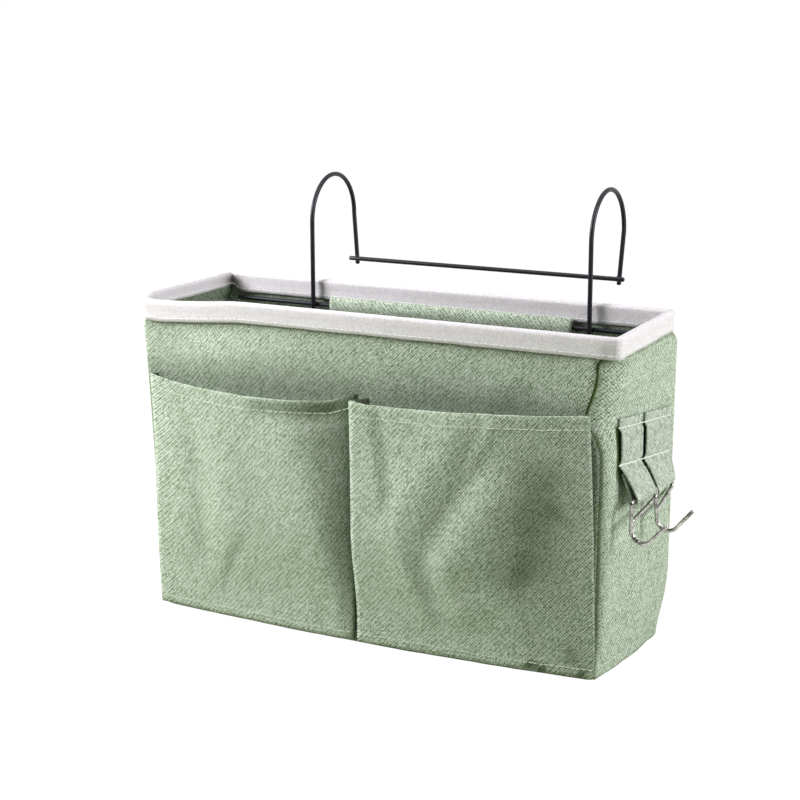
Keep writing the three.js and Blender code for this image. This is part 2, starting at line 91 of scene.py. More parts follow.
# Bracket
WIRE_RADIUS = 1.5
BAR_LENGTH = 298
BAR_Z = 191.3
BAR_Y = 44.55
LEG_Y = 41.5
BRACKET_SHIFT = 8.6
HOOK_SPACING = 196
HOOK_GAP = 58.6
HOOK_RISE = 84
TIP_DROP = 64.2
TIP_STUB = 3.5
TIE_OVERHANG = 2.5
HOOK_TOE_IN = 2.5
LEG_STUB = 3.4
WELD_GAP = 0.05

# Casing round the bracket's long bar
CASING_LENGTH = 172
CASING_CLOTH = 1
CASING_TAIL = 16
CASING_FLANGE = 8
CASING_SLACK = 3

# Base board
BOARD_THICKNESS = 2
BOARD_INSET = 3
BOARD_BEVEL = 0.4

# Straps
STRAP_WIDTH = 35
STRAP_HEM_SHARE = 0.96
STRAP_CLOTH = 1.2
STRAP_GAP = 2.5
STRAP_PAIR_Y = 4.5
STRAP_TOP_Z = 153
STRAP_STITCH_Z = STRAP_TOP_Z - 5.5
STRAP_LOOP_HEIGHT = 22.5
STRAP_LOWER_STITCH_Z = STRAP_STITCH_Z - STRAP_LOOP_HEIGHT
STRAP_LOOP_STANDOFF = 1.4
STRAP_LOOP_FADE = 1 / 7
STRAP_END_LIFT = 0.2
STRAP_FLAP_LENGTH = 19
STRAP_FLAP_BOW = 0.9
STRAP_BACK_SHARE = 0.75
STRAP_BACK_GAP = 0.15
STRAP_SLOPE = 0.09
STRAP_SLOT_Y = -31
SIDE_SETS = (
    {"end": "front", "side": -1, "out": 10, "twist": 2, "lean": 1, "strap_y": -14.7, "strap_width": 26.8},
    {"end": "rear", "side": 1, "out": 5.2, "twist": 8, "lean": 5, "strap_y": 20.6, "strap_width": 34},
)

# Small hooks; the end of the bend is in degrees
SMALL_WIRE_RADIUS = 1.2
SMALL_LOOP_WIDTH = 34.6
SMALL_LOOP_SIDE = 5
SMALL_LOOP_BEND = 2
SMALL_LOOP_DEPTH = 12
SHANK_LENGTH = 17
HOOK_BEND = 7
HOOK_BEND_END = 45
HOOK_TIP_LENGTH = 15

# Camera: where the photo was taken from, with its angles in degrees
CAMERA_PLACE = (492.3, -983.5, 412.6)
CAMERA_AZIMUTH = 26.77
CAMERA_PITCH = 13.70
CAMERA_ROLL = -0.11
CAMERA_LENS = 80.65
CAMERA_SENSOR = 36
CAMERA_CLIPS = (0.05, 20)


def add_camera():
    camera = bpy.data.objects.new("camera", bpy.data.cameras.new("camera"))
    bpy.context.collection.objects.link(camera)
    bpy.context.scene.camera = camera
    camera.data.lens = CAMERA_LENS
    camera.data.sensor_width = CAMERA_SENSOR
    a, e = math.radians(CAMERA_AZIMUTH), math.radians(CAMERA_PITCH)
    back = Vector((math.sin(a) * math.cos(e), -math.cos(a) * math.cos(e), math.sin(e)))
    turn = (-back).to_track_quat("-Z", "Y").to_matrix().to_4x4()
    roll = Matrix.Rotation(math.radians(CAMERA_ROLL), 4, "Z")
    camera.matrix_world = Matrix.Translation(Vector(CAMERA_PLACE) * MM) @ turn @ roll
    camera.data.clip_start, camera.data.clip_end = CAMERA_CLIPS


add_camera()


# Mesh helpers


def add_mesh(name, points, faces, uvs, material, painted_shades=None):
    """A mesh object from points in millimetres, faces, and one UV for each face corner. The last argument
    gives each point its painted shade, 0 to 1, which darkens the colour in creases and wherever shade falls."""
    mesh = bpy.data.meshes.new(name)
    mesh.from_pydata((np.asarray(points, float) * MM).tolist(), [], faces)
    layer = mesh.uv_layers.new(name="weave")
    layer.data.foreach_set("uv", (np.asarray(uvs, float) * MM).ravel())
    mesh.polygons.foreach_set("use_smooth", [True] * len(mesh.polygons))
    mesh.materials.append(material)
    # Painted shade for each point, which the cloth's material reads
    if painted_shades is not None:
        mesh.attributes.new("painted_shade", "FLOAT", "POINT").data.foreach_set("value", np.ravel(painted_shades))
    mesh.validate()
    mesh.update()
    piece = bpy.data.objects.new(name, mesh)
    bpy.context.collection.objects.link(piece)
    return piece


def grid_faces(rows, columns, closed=False):
    faces = []
    for j in range(rows - 1):
        for i in range(columns if closed else columns - 1):
            k = (i + 1) % columns
            faces.append((j * columns + i, j * columns + k, (j + 1) * columns + k, (j + 1) * columns + i))
    return faces


def grid_corners(uv):
    """The UVs of the faces' corners, from a grid of UVs with one more row and column than faces."""
    corners = []
    for low, high in zip(uv, uv[1:]):
        for i in range(len(low) - 1):
            corners += [low[i], low[i + 1], high[i + 1], high[i]]
    return corners


def grid_piece(name, points, uv, material, closed=False, painted_shades=None):
    """A sheet from a grid of points. uv has one more column than points if the sheet is closed."""
    faces = grid_faces(*points.shape[:2], closed)
    return add_mesh(name, points.reshape(-1, 3), faces, grid_corners(uv), material, painted_shades)


def plan_uv(points):
    """UVs for a closed grid that lies flat: its places seen from above."""
    return np.concatenate([points, points[:, :1]], axis=1)[:, :, :2]


def run_along(places):
    """How far each place of a path lies from its start."""
    steps = np.linalg.norm(np.diff(np.asarray(places, float), axis=0), axis=1)
    return np.concatenate([[0], np.cumsum(steps)])


def thicken(piece, thickness):
    """Gives a sheet its thickness in millimetres, half to each side."""
    solidify = piece.modifiers.new("thickness", "SOLIDIFY")
    solidify.thickness = thickness * MM
    solidify.offset = 0
    solidify.use_even_offset = False
    graph = bpy.context.evaluated_depsgraph_get()
    mesh = bpy.data.meshes.new_from_object(piece.evaluated_get(graph))
    piece.modifiers.clear()
    piece.data = mesh
    return piece


def joined(name, parts, material):
    """One piece from several (points, faces, uvs) parts."""
    points, faces, uvs = [], [], []
    for part_points, part_faces, part_uvs in parts:
        base = len(points)
        points.extend(part_points)
        faces.extend([tuple(base + i for i in face) for face in part_faces])
        uvs.extend(part_uvs)
    return add_mesh(name, points, faces, uvs, material)


def lerp(a, b, t):
    return a + (b - a) * t


def smooth(t):
    t = np.clip(t, 0, 1)
    return t * t * (3 - 2 * t)


def hill(distance, width):
    """A soft hill of height 1, about width wide to each side."""
    return np.exp(-((distance / width) ** 2))


def hump(value, middle, width):
    return hill(value - middle, width)


def rising(value, start, length):
    """0 before a start, then softly up to 1 over a length. A negative length runs backwards."""
    return smooth((value - start) / length)


def shares(count):
    """Shares from 0 to 1 in a number of equal steps."""
    return [k / count for k in range(count + 1)]


def uv_grid(across, up):
    """UVs of a grid. across has one value for each column, or for each place, and up one for each row."""
    up = np.asarray(up, float)[:, None]
    return np.stack(np.broadcast_arrays(np.atleast_2d(across), up), axis=-1)


@functools.lru_cache
def knot_arrays(knots):
    places = np.array([knot[0] for knot in knots], float)
    values = np.array([knot[1] for knot in knots], float)
    return places, values, np.gradient(values, places)


def curve_at(knots, place):
    """The value at a place on a smooth curve through knots (place, value)."""
    places, values, slopes = knot_arrays(knots)
    k = int(np.clip(np.searchsorted(places, place) - 1, 0, len(knots) - 2))
    span = places[k + 1] - places[k]
    t = np.clip((place - places[k]) / span, 0, 1)
    from_start = values[k] * (1 + 2 * t) * (1 - t) ** 2 + span * slopes[k] * t * (1 - t) ** 2
    from_end = values[k + 1] * (3 - 2 * t) * t**2 - span * slopes[k + 1] * (1 - t) * t**2
    return from_start + from_end


# Folds and ripples

# A fold is left out where it would be lower than a thousandth of its height
FOLD_REACH = 2.7
# Each end of a fold fades over this share of its length
FOLD_FADE = 0.25
CORNER_CUTS = 2
CUT_SHARE = 0.25

# Each wave of a ripple has its own way, size and start: (for each seed, for each wave)
RIPPLE_WAVES = 4
RIPPLE_TURNS = (1.7, 2.4)
RIPPLE_SIZES = (0.7, 0.25)
RIPPLE_PHASES = (3.1, 1.3)
# Ripples of each cloth: height, share of z that counts, seed, and size
RIPPLES = {
    "front": ((0.7, 0.35, 1, 55), (0.35, 1, 2, 24)),
    "right": ((0.8, 0.5, 4, 46), (0.35, 1, 6, 22)),
    "back": ((0.3, 0.4, 7, 60),),
    "left": ((0.8, 0.5, 2, 46), (0.35, 1, 4, 22)),
    "left_pocket": ((0.5, 0.6, 21, 60), (0.25, 1, 22, 26)),
    "right_pocket": ((0.5, 1, 31, 46), (0.25, 1, 32, 22)),
}


def fading(share, fade):
    """1, and softly down to 0 over a share at both ends."""
    return smooth(share / fade) * smooth((1 - share) / fade)


@functools.lru_cache
def rounded_path(path):
    """A path with its corners cut off, and its left, right, lower and upper limits."""
    for _ in range(CORNER_CUTS):
        cut = [path[0]]
        for (x0, z0), (x1, z1) in zip(path, path[1:]):
            cut += [(lerp(x0, x1, t), lerp(z0, z1, t)) for t in (CUT_SHARE, 1 - CUT_SHARE)]
        path = (*cut, path[-1])
    xs, zs = zip(*path)
    return path, (min(xs), max(xs), min(zs), max(zs))


def fold(x, z, path, width, height):
    """A soft fold along a path of places, which dies away towards both ends of the path."""
    path, (left, right, low, high) = rounded_path(path)
    reach = FOLD_REACH * width
    if not (left - reach < x < right + reach and low - reach < z < high + reach):
        return 0
    nearest, along, run = math.inf, 0, 0
    for (x0, z0), (x1, z1) in zip(path, path[1:]):
        length = math.hypot(x1 - x0, z1 - z0)
        t = min(1, max(0, ((x - x0) * (x1 - x0) + (z - z0) * (z1 - z0)) / length**2))
        distance = math.hypot(x - lerp(x0, x1, t), z - lerp(z0, z1, t))
        if distance < nearest:
            nearest, along = distance, run + t * length
        run += length
    return height * hill(nearest, width) * fading(along / run, FOLD_FADE)


def folds_of(folds, x, z):
    return sum(fold(x, z, path, width, height) for path, width, height in folds)


def ripple(a, b, seed, size):
    """Smooth noise from -1 to 1, with waves about size long."""
    total = 0
    for k in range(RIPPLE_WAVES):
        angle, scale, phase = (
            RIPPLE_TURNS[0] * seed + RIPPLE_TURNS[1] * k,
            RIPPLE_SIZES[0] + RIPPLE_SIZES[1] * k,
            RIPPLE_PHASES[0] * seed + RIPPLE_PHASES[1] * k,
        )
        wave = 2 * math.pi / (size * scale)
        total = total + np.sin((a * math.cos(angle) + b * math.sin(angle)) * wave + phase)
    return total / RIPPLE_WAVES


def rippled(cloth, along, z):
    return sum(height * ripple(along, share * z, seed, size) for height, share, seed, size in RIPPLES[cloth])


# Cloth of the bag, as the photo shows it. From here on, a pair of numbers for rising() is
# (start, length), and a pair for hump() is (middle, width)

# How far the front right seam is drawn in to the left at each height
SEAM_DRAW = (
    (0, 0), (100, 0), (130, 0), (140, 0.6), (148, 4), (155, 9), (163, 10.8), (168, 10.4), (176, 10.2),
    (184, 10.8), (192, 11.4), (195, 9), (197, 3), (199, 0.6), (202, 0), (207, 0),
)
SEAM_DRAW_REACH = 13
# On the front wall the drawing in reaches this many times as far
SEAM_DRAW_FRONT_STRETCH = 4

# How far the front left edge leans out at each height
LEFT_FLARE = (
    (0, 0), (30, 0.3), (60, 1), (100, 1.8), (150, 2.7), (185, 3.6), (193, 4), (200, 5.6), (206, 6.4),
    (212, 6.4),
)
LEFT_FLARE_RISE = (-95, -62)
POCKET_EDGE_REACH = 2.2
POCKET_EDGE_RISE = (-138, -16)

# The rim sags beside the front left corner, with one width to its left and one to its right
RIM_SAG = 4.2
RIM_SAG_X = -149
RIM_SAG_WIDTHS = (12, 40)
RIM_SAG_DEPTH = 60
RIM_SAG_FRONT_RISE = (-40, -8)
SLUMP_RISE = (-84, -30)

# The front wall swells at its upper left and hollows along the pockets' mouths
SWELL = 4.5
SWELL_HUMP = (-96, 44)
SWELL_RISE = (120, 30)
MOUTH_HOLLOW = 2.6
MOUTH_HUMP = (POCKET_TOP_Z, 22)
FRONT_FOLDS = (
    (((112, 196), (84, 170), (62, 146)), 14, 0.8),
    (((-128, 194), (-104, 172), (-84, 150)), 10, 0.9),
)
# Below the binding the cloth comes to wrinkle freely
FRONT_RISE = (TAPE_FOOT_Z, -25)
WALL_RISE = (TAPE_FOOT_Z, -20)

# The pucker along the front right seam
PUCKER = 1.4
PUCKER_HUMP = (3.5, 2.5)
PUCKER_TOP_RISE = (TAPE_FOOT_Z, -14)
PUCKER_FOOT_RISE = (6, 40)

# Corners of the foot are rounder than the rim's
FOOT_ROUNDING = {"front": 1.5, "rear_right": 15, "rear_left": 9}
FOOT_ROUND_HEIGHT = 46

# Columns of each wall, and how strongly they crowd towards the wall's start
WALL_COLUMNS = {"front": (96, 1), "right": (56, 1.5), "back": (60, 1), "left": (34, 1)}
RIM_COLUMNS = {"front": (80, 1), "right": (26, 1), "back": (80, 1), "left": (26, 1)}
CORNER_STEPS = 4
WALL_ROW_STEP = 3.2
FIRST_ROW_Z = 4.5
FOOT_RING_RISE = 1.2
# Wrinkles die away over this share at a wall's ends, and over less at the front right seam
WRINKLE_FADE = 1 / 8
SEAM_FADE = 1 / 60

# Rings of the floor from the walls in: share of the way to the bag's middle line, and rise
FLOOR_RINGS = ((0.03, 0.4), (0.08, 0), (0.3, 0), (0.6, 0), (1, 0))
FLOOR_MIDDLE_X = 100
# The right wall's inner skin lies beyond this x
INNER_CLEAR_X = 138


# Bag walls


def drop_at(z):
    """How far down the cloth a height is: 0 under the binding, 1 at the foot."""
    return np.clip((TAPE_FOOT_Z - z) / TAPE_FOOT_Z, 0, 1)


def wall_corners(z):
    """The walls' mid-surface corners at a height: front left, front right, back right, back left."""
    drop = drop_at(z)
    step = np.clip((TAPE_FOOT_Z - z) / SHOULDER_HEIGHT, 0, 1)
    end = WALL_HALF_LENGTH + END_BELLY * step - FOOT_INSET * (1 - smooth(z / FOOT_HEIGHT))
    pulled = WALL_HALF_LENGTH - SEAM_PULL * smooth(drop / SEAM_PULL_DROP_SHARE)
    front_y = -(WALL_HALF_DEPTH + FRONT_FLARE * drop**BULGE_EXPONENT)
    back_y = WALL_HALF_DEPTH + BACK_SHOULDER * step
    return (
        np.array((-end + LEFT_TAPER * drop, front_y)),
        np.array((pulled, front_y)),
        np.array((end - RIGHT_TAPER * drop, back_y)),
        np.array((-end + LEFT_TAPER * drop, back_y)),
    )


FACES = ("front", "right", "back", "left")
FACE_BULGES = {"front": FRONT_BULGE, "right": SIDE_BULGE, "back": 0, "left": SIDE_BULGE}


def bulge_at(face, share, z):
    return FACE_BULGES[face] * 4 * share * (1 - share) * drop_at(z) ** BULGE_EXPONENT


def corner_point(before, corner, after, t, radius):
    """A place on a rounded corner, and its outward normal."""
    start = corner + (before - corner) * radius / np.linalg.norm(before - corner)
    end = corner + (after - corner) * radius / np.linalg.norm(after - corner)
    point = start * (1 - t) ** 2 + corner * 2 * t * (1 - t) + end * t**2
    tangent = (corner - start) * (1 - t) + (end - corner) * t
    tangent = tangent / np.linalg.norm(tangent)
    return point, np.array((tangent[1], -tangent[0]))


def corner_radii(z):
    """Radius at each corner: front left, front right, back right, back left."""
    low = 1 - smooth(z / FOOT_ROUND_HEIGHT)
    return [CORNER_RADIUS + FOOT_ROUNDING[k] * low for k in ("front", "front", "rear_right", "rear_left")]


def turn_round(corners, radii, columns):
    """One turn round four walls with rounded corners: each spot's place, outward normal, face, and
    share along the face's flat part, or None in a corner."""
    spots = []
    for i, face in enumerate(FACES):
        before, start, end, after = (corners[(i + k) % 4] for k in (3, 0, 1, 2))
        radius, next_radius = radii[i], radii[(i + 1) % 4]
        along = (end - start) / np.linalg.norm(end - start)
        normal = np.array((along[1], -along[0]))
        first = start + along * radius
        last = end - along * next_radius
        count, crowding = columns[face]
        for k in range(CORNER_STEPS):
            spot = corner_point(before, start, end, 0.5 + 0.5 * k / CORNER_STEPS, radius)
            spots.append((*spot, face, None))
        for k in range(count + 1):
            share = (k / count) ** crowding
            spots.append((lerp(first, last, share), normal, face, share))
        for k in range(1, CORNER_STEPS):
            spot = corner_point(start, end, after, 0.5 * k / CORNER_STEPS, next_radius)
            spots.append((*spot, face, None))
    return spots


def turned_under(z):
    """How far the cloth rolls in below its lowest seam."""
    return FOOT_ROLL * np.clip(1 - z / SEAM_STITCH_Z, 0, 1) ** 2


def front_wrinkle(x, z):
    """How far the front wall stands proud of its smooth shape at a place."""
    swell = SWELL * hump(x, *SWELL_HUMP) * rising(z, *SWELL_RISE)
    folds = rippled("front", x, z) + folds_of(FRONT_FOLDS, x, z) + swell
    return rising(z, *FRONT_RISE) * folds - MOUTH_HOLLOW * hump(z, *MOUTH_HUMP) - turned_under(z)


def wall_ripple(face, along, z):
    """Ripples of the other walls, which die away under the binding."""
    return rising(z, *WALL_RISE) * rippled(face, along, z)


def from_front_seam(y, z):
    """How far behind the front right seam a place on the right wall lies."""
    return y + WALL_HALF_DEPTH + FRONT_FLARE * drop_at(z) ** BULGE_EXPONENT


def seam_pucker(y, z):
    """The crease beside the front right seam."""
    deep = rising(z, *PUCKER_TOP_RISE) * rising(z, *PUCKER_FOOT_RISE)
    return -PUCKER * deep * hump(from_front_seam(y, z), *PUCKER_HUMP)


def wrinkle(face, x, y, z):
    if face == "front":
        return front_wrinkle(x, z)
    if face == "right":
        return wall_ripple(face, y, z) + seam_pucker(y, z)
    return wall_ripple(face, x if face == "back" else y, z)


def drawn_in(from_seam, z):
    """How far the cloth near the front right seam is drawn in towards the left."""
    return curve_at(SEAM_DRAW, z) * hill(from_seam, SEAM_DRAW_REACH)


def wall_ring(z):
    """One turn round the walls at a height: each spot's place, outward normal, wrinkle, face, and
    its place before the seam is drawn in."""
    corners = wall_corners(z)
    seam_x, seam_y = corners[1]
    ring = []
    for place, normal, face, share in turn_round(corners, corner_radii(z), WALL_COLUMNS):
        rise = 0
        if share is not None:
            start_fade = SEAM_FADE if face == "right" else WRINKLE_FADE
            rise = wrinkle(face, *place, z) * smooth(share / start_fade) * smooth((1 - share) / WRINKLE_FADE)
            place = place + normal * bulge_at(face, share, z)
        ahead = max(0, (seam_x - place[0]) / SEAM_DRAW_FRONT_STRETCH) if place[1] < 0 else 0
        draw = drawn_in(math.hypot(ahead, place[1] - seam_y), z)
        ring.append((place - np.array((draw, 0)), normal, rise, face, place))
    return ring


def cloth_lengths(rings):
    """How far along the cloth each spot of each ring lies, with the corners one above the other."""
    plain = np.array([[spot[4] for spot in (*ring, ring[0])] for ring in rings])
    steps = np.linalg.norm(np.diff(plain, axis=1), axis=2)
    lengths = np.pad(np.cumsum(steps, axis=1), ((0, 0), (1, 0)))
    faces = [spot[3] for spot in rings[0]]
    turns = [i for i in range(len(faces)) if faces[i] != faces[i - 1]] + [len(faces)]
    return np.array([np.interp(row, row[turns], lengths[-1][turns]) for row in lengths])


def front_face_y(x, z):
    """Outer face of the smooth front wall at a place along it."""
    left, right = wall_corners(z)[:2]
    share = np.clip((x - left[0] - CORNER_RADIUS) / (right[0] - left[0] - 2 * CORNER_RADIUS), 0, 1)
    return left[1] - bulge_at("front", share, z) - CLOTH / 2


def right_face_x(y, z):
    """Outer face of the smooth right wall at a place along it."""
    _, front, back, _ = wall_corners(z)
    depth = back[1] - front[1]
    share = np.clip((y - front[1] - CORNER_RADIUS) / (depth - 2 * CORNER_RADIUS), 0, 1)
    line = lerp(front[0], back[0], (y - front[1]) / depth)
    return line + bulge_at("right", share, z) + CLOTH / 2 - drawn_in(y - front[1], z)


def slumped(x, y, z, edge_reach):
    """Where a place of the smooth bag lies once its left end has leaned out and its rim has sagged."""
    front = np.clip((WALL_HALF_DEPTH - y) / (2 * WALL_HALF_DEPTH), 0, 1)
    flare = curve_at(LEFT_FLARE, z) * rising(x, *LEFT_FLARE_RISE) * front
    sag = RIM_SAG * hump(x, RIM_SAG_X, RIM_SAG_WIDTHS[x >= RIM_SAG_X]) * rising(x, *SLUMP_RISE)
    sag *= rising(y, *RIM_SAG_FRONT_RISE) * rising(z, TAPE_FOOT_Z - RIM_SAG_DEPTH, RIM_SAG_DEPTH)
    return (x - flare - edge_reach * rising(x, *POCKET_EDGE_RISE), y, z - sag)


def slump(piece, edge_reach=0):
    """Slumps a piece's left end. edge_reach moves its left edge further out."""
    for vertex in piece.data.vertices:
        if vertex.co.x < SLUMP_RISE[0] * MM:
            vertex.co = [v * MM for v in slumped(*(v / MM for v in vertex.co), edge_reach)]


# Painted shade on the walls, where shade falls in creases and under things: 0 for none, 1 for the darkest

# Painted shade just under the binding all round, and high on the left wall where it lies in shade
UNDER_TAPE_SHADE = (0.4, (TAPE_FOOT_Z, 3.5))
LEFT_WALL_SHADE = (0.6, (TAPE_FOOT_Z - 10, 8))
# Painted shade in the front right corner under the binding, in height and from the seam
CORNER_SHADE = (0.8, (TAPE_FOOT_Z, 7), (0, 16))
# Painted shade along the front right seam: depth and hump of a dark line and a wide one, below and above the
# mouths
SEAM_SHADE_BELOW = np.array((0.9, 0, 4.4, 0.42, 2, 7))
SEAM_SHADE_ABOVE = np.array((1, 1, 1.9, 0.42, 2, 5.5))
SEAM_SHADE_CHANGE = (POCKET_TOP_Z, 8)
SEAM_SHADE_RISE = (0, 25)
# Painted shade along the pockets' mouths, in the pockets, and towards the seam
MOUTH_SHADE = (0.36, (POCKET_TOP_Z, 15))
POCKET_INSIDE_SHADE = (0.4, POCKET_TOP_Z - 8)
FRONT_SEAM_SHADE = (0.12, (122, 22))
# Painted shade under the straps and in the slot beside the front one: across from either side, and from top
# and foot
STRAP_SHADE = 0.95
STRAP_SHADE_RISES = ((STRAP_SLOT_Y, 1.2), (36, -2), (STRAP_TOP_Z - 3, -2), (108, 14))


# Painted shade of the straps' shadow on the right wall
def strap_shade(y, z):
    front, rear, top, foot = STRAP_SHADE_RISES
    height = z + STRAP_SLOPE * (y - STRAP_PAIR_Y)
    across = rising(y, *front) * rising(y, *rear)
    return STRAP_SHADE * across * rising(height, *top) * rising(height, *foot)


# Painted shade on the right wall: in the front corner, along the seam and under the straps
def right_painted_shade(y, z):
    from_seam = from_front_seam(y, z)
    depth, height_hump, seam_hump = CORNER_SHADE
    at_corner = depth * hump(z, *height_hump) * hump(from_seam, *seam_hump)
    line = lerp(SEAM_SHADE_BELOW, SEAM_SHADE_ABOVE, rising(z, *SEAM_SHADE_CHANGE))
    at_seam = max(line[0] * hump(from_seam, *line[1:3]), line[3] * hump(from_seam, *line[4:]))
    return max(at_corner, strap_shade(y, z), rising(z, *SEAM_SHADE_RISE) * at_seam)


# Painted shade on the front wall: along the mouths, in the pockets, and towards the right seam
def front_painted_shade(x, z):
    at_mouth = MOUTH_SHADE[0] * hump(z, *MOUTH_SHADE[1]) if z > POCKET_INSIDE_SHADE[1] else POCKET_INSIDE_SHADE[0]
    return max(at_mouth, FRONT_SEAM_SHADE[0] * rising(x, *FRONT_SEAM_SHADE[1]))


# The painted shade of a place on a wall, 0 to 1
def wall_painted_shade(face, x, y, z):
    under_tape = UNDER_TAPE_SHADE[0] * hump(z, *UNDER_TAPE_SHADE[1])
    if face == "right":
        return min(1, max(under_tape, right_painted_shade(y, z)))
    if face == "front":
        return max(under_tape, front_painted_shade(x, z))
    if face == "left":
        return max(under_tape, LEFT_WALL_SHADE[0] * rising(z, *LEFT_WALL_SHADE[1]))
    return under_tape


def closed_in(edge, share, z):
    """A ring moved a share of the way to the bag's middle line, at a height."""
    middle = np.column_stack([np.clip(edge[:, 0], -FLOOR_MIDDLE_X, FLOOR_MIDDLE_X), np.zeros(len(edge))])
    return np.column_stack([lerp(edge[:, :2], middle, share), np.full(len(edge), z)])


def bag_shell(material):
    """The bag: outer and inner skin of the walls and the floor, in one closed shell."""
    heights = [CLOTH / 2 + FOOT_RING_RISE]
    heights += list(np.linspace(FIRST_ROW_Z, WALL_TOP_Z, round(WALL_TOP_Z / WALL_ROW_STEP)))
    rings = [wall_ring(z) for z in heights]
    walls = np.array([
        [(*(place + normal * rise), z) for place, normal, rise, _, _ in ring]
        for z, ring in zip(heights, rings)
    ])
    floor = np.array([closed_in(walls[0], share, CLOTH / 2 + rise) for share, rise in reversed(FLOOR_RINGS)])
    points = np.concatenate([floor, walls])
    # Painted shade: none on the floor, and on the walls as each place gives it
    painted_shades = [0] * (len(floor) * len(rings[0]))
    for row, ring in zip(walls, rings):
        painted_shades += [wall_painted_shade(spot[3], *point) for point, spot in zip(row, ring)]
    corners = grid_corners(plan_uv(points[:len(floor) + 1]))
    corners += grid_corners(uv_grid(cloth_lengths(rings), heights))
    faces = grid_faces(*points.shape[:2], closed=True)
    piece = thicken(add_mesh("bag_shell", points.reshape(-1, 3), faces, corners, material, painted_shades), CLOTH)
    clear_inner_painted_shade(piece, points.shape[0] * points.shape[1])
    return piece


def clear_inner_painted_shade(piece, count):
    """The painted shade of the straps and of the seam on the right wall shows on its outer skin only."""
    places = piece.data.vertices
    painted_shade = piece.data.attributes["painted_shade"].data
    for k in range(count):
        first, second = places[k].co.x, places[k + count].co.x
        if min(first, second) > INNER_CLEAR_X * MM:
            inner = k if first < second else k + count
            painted_shade[inner].value = 0


def floor_board(material):
    """The stiffener on the bag's floor, its corners cut round like the bag's."""
    foot_z = CLOTH + SEAM_GAP
    top_z = foot_z + BOARD_THICKNESS
    ring = wall_ring(top_z)
    rows = []
    for z, inset, share in (
        (foot_z, BOARD_BEVEL, 1),
        (foot_z, BOARD_BEVEL, 0),
        (foot_z + BOARD_BEVEL, 0, 0),
        (top_z - BOARD_BEVEL, 0, 0),
        (top_z, BOARD_BEVEL, 0),
        (top_z, BOARD_BEVEL, 0.5),
        (top_z, BOARD_BEVEL, 1),
    ):
        reach = CLOTH / 2 + BOARD_INSET + inset
        edge = np.array([place + normal * (min(rise, 0) - reach) for place, normal, rise, _, _ in ring])
        rows.append(closed_in(edge, share, z))
    points = np.array(rows)
    return grid_piece("base_board_sheet", points, plan_uv(points), material, closed=True)


# Rim binding

NECK_DROP = 1.5
NECK_STEPS = 4
BULB_PLACES = 9
# The binding's lower edges sway up and down, and it swells here and there: height, seed and size
TAPE_SWAY = (0.35, 11, 30)
TAPE_SWELL = (0.22, 12, 17)
SWAY_HEIGHT = 6
# The two edges sway apart, as if they lay this far from each other
SWAY_PARTING = 40
# Places of the profile nearer to its middle line than this don't swell
SWELL_CORE = 1
# On the left wall the inner hem is higher
LEFT_HEM = (3.5, (-148, -8))
HEM_RISE_HEIGHT = 11
# Painted shade: depth, place and width, of a shadow at the front right corner and one at the rear left
FRONT_TAPE_SHADE = (0.4, (WALL_HALF_LENGTH - 6, 3.5), (TAPE_FOOT_Z + 4, 5))
FRONT_TAPE_SHADE_Y = 3 - WALL_HALF_DEPTH
REAR_TAPE_SHADE = (0.95, (3 - WALL_HALF_LENGTH, WALL_HALF_DEPTH - 2), 8)
REAR_TAPE_SHADE_RISE = (RIM_HEIGHT, -4)


def rim_spots():
    """The rim's rounded rectangle: places and outward normals."""
    return [spot[:2] for spot in turn_round(wall_corners(RIM_HEIGHT), [CORNER_RADIUS] * 4, RIM_COLUMNS)]


def tape_profile():
    """Mid-line of the binding across the rim: (offset outwards, height), outer foot first."""
    leg = CLOTH / 2 + SEAM_GAP + TAPE_THICKNESS / 2
    bulb = RIM_WIRE_RADIUS + SEAM_GAP + TAPE_THICKNESS / 2
    neck_z = RIM_WIRE_Z - bulb - NECK_DROP
    outer = [(leg, lerp(TAPE_FOOT_Z, neck_z, t)) for t in shares(NECK_STEPS)]
    turn = np.linspace(0, math.pi, BULB_PLACES)
    arc = [(bulb * math.cos(a), RIM_WIRE_Z + bulb * math.sin(a)) for a in turn]
    return outer + arc + [(-offset, z) for offset, z in reversed(outer)]


def tape_painted_shade(x, y, z):
    """Depth of the painted shade in the binding's colour, 0 to 1."""
    depth, x_hump, z_hump = FRONT_TAPE_SHADE
    front_right = depth * hump(x, *x_hump) * hump(z, *z_hump) * (y < FRONT_TAPE_SHADE_Y)
    depth, place, width = REAR_TAPE_SHADE
    return front_right + depth * hill(math.dist(place, (x, y)), width) * rising(z, *REAR_TAPE_SHADE_RISE)


def foot_share(z, height):
    """1 at the binding's foot, 0 from a height above it on."""
    return 1 - rising(z, TAPE_FOOT_Z, height)


def hem_rise(x, z):
    """How much higher the binding's inner leg is on the left wall."""
    return LEFT_HEM[0] * rising(x, *LEFT_HEM[1]) * foot_share(z, HEM_RISE_HEIGHT)


def rim_binding(material):
    profile = tape_profile()
    spots = rim_spots()
    around = run_along([place for place, _ in (*spots, spots[0])])
    sway_height, sway_seed, sway_size = TAPE_SWAY
    swell_height, swell_seed, swell_size = TAPE_SWELL
    points = np.zeros((len(profile), len(spots), 3))
    for i, (place, normal) in enumerate(spots):
        for j, (offset, z) in enumerate(profile):
            sway = sway_height * ripple(around[i], SWAY_PARTING * (offset > 0), sway_seed, sway_size)
            swell = swell_height * ripple(around[i], z, swell_seed, swell_size)
            out = offset + math.copysign(swell, offset) if abs(offset) > SWELL_CORE else offset
            rise = hem_rise(place[0], z) if offset < 0 else 0
            points[j, i] = (*(place + normal * out), z + sway * foot_share(z, SWAY_HEIGHT) + rise)
    uv = uv_grid(around, run_along(profile))
    # Painted shade for each point of the binding
    painted_shades = [tape_painted_shade(*point) for point in points[::-1].reshape(-1, 3)]
    piece = grid_piece("rim_binding", points[::-1], uv[::-1], material, closed=True, painted_shades=painted_shades)
    return thicken(piece, TAPE_THICKNESS)


# Pockets

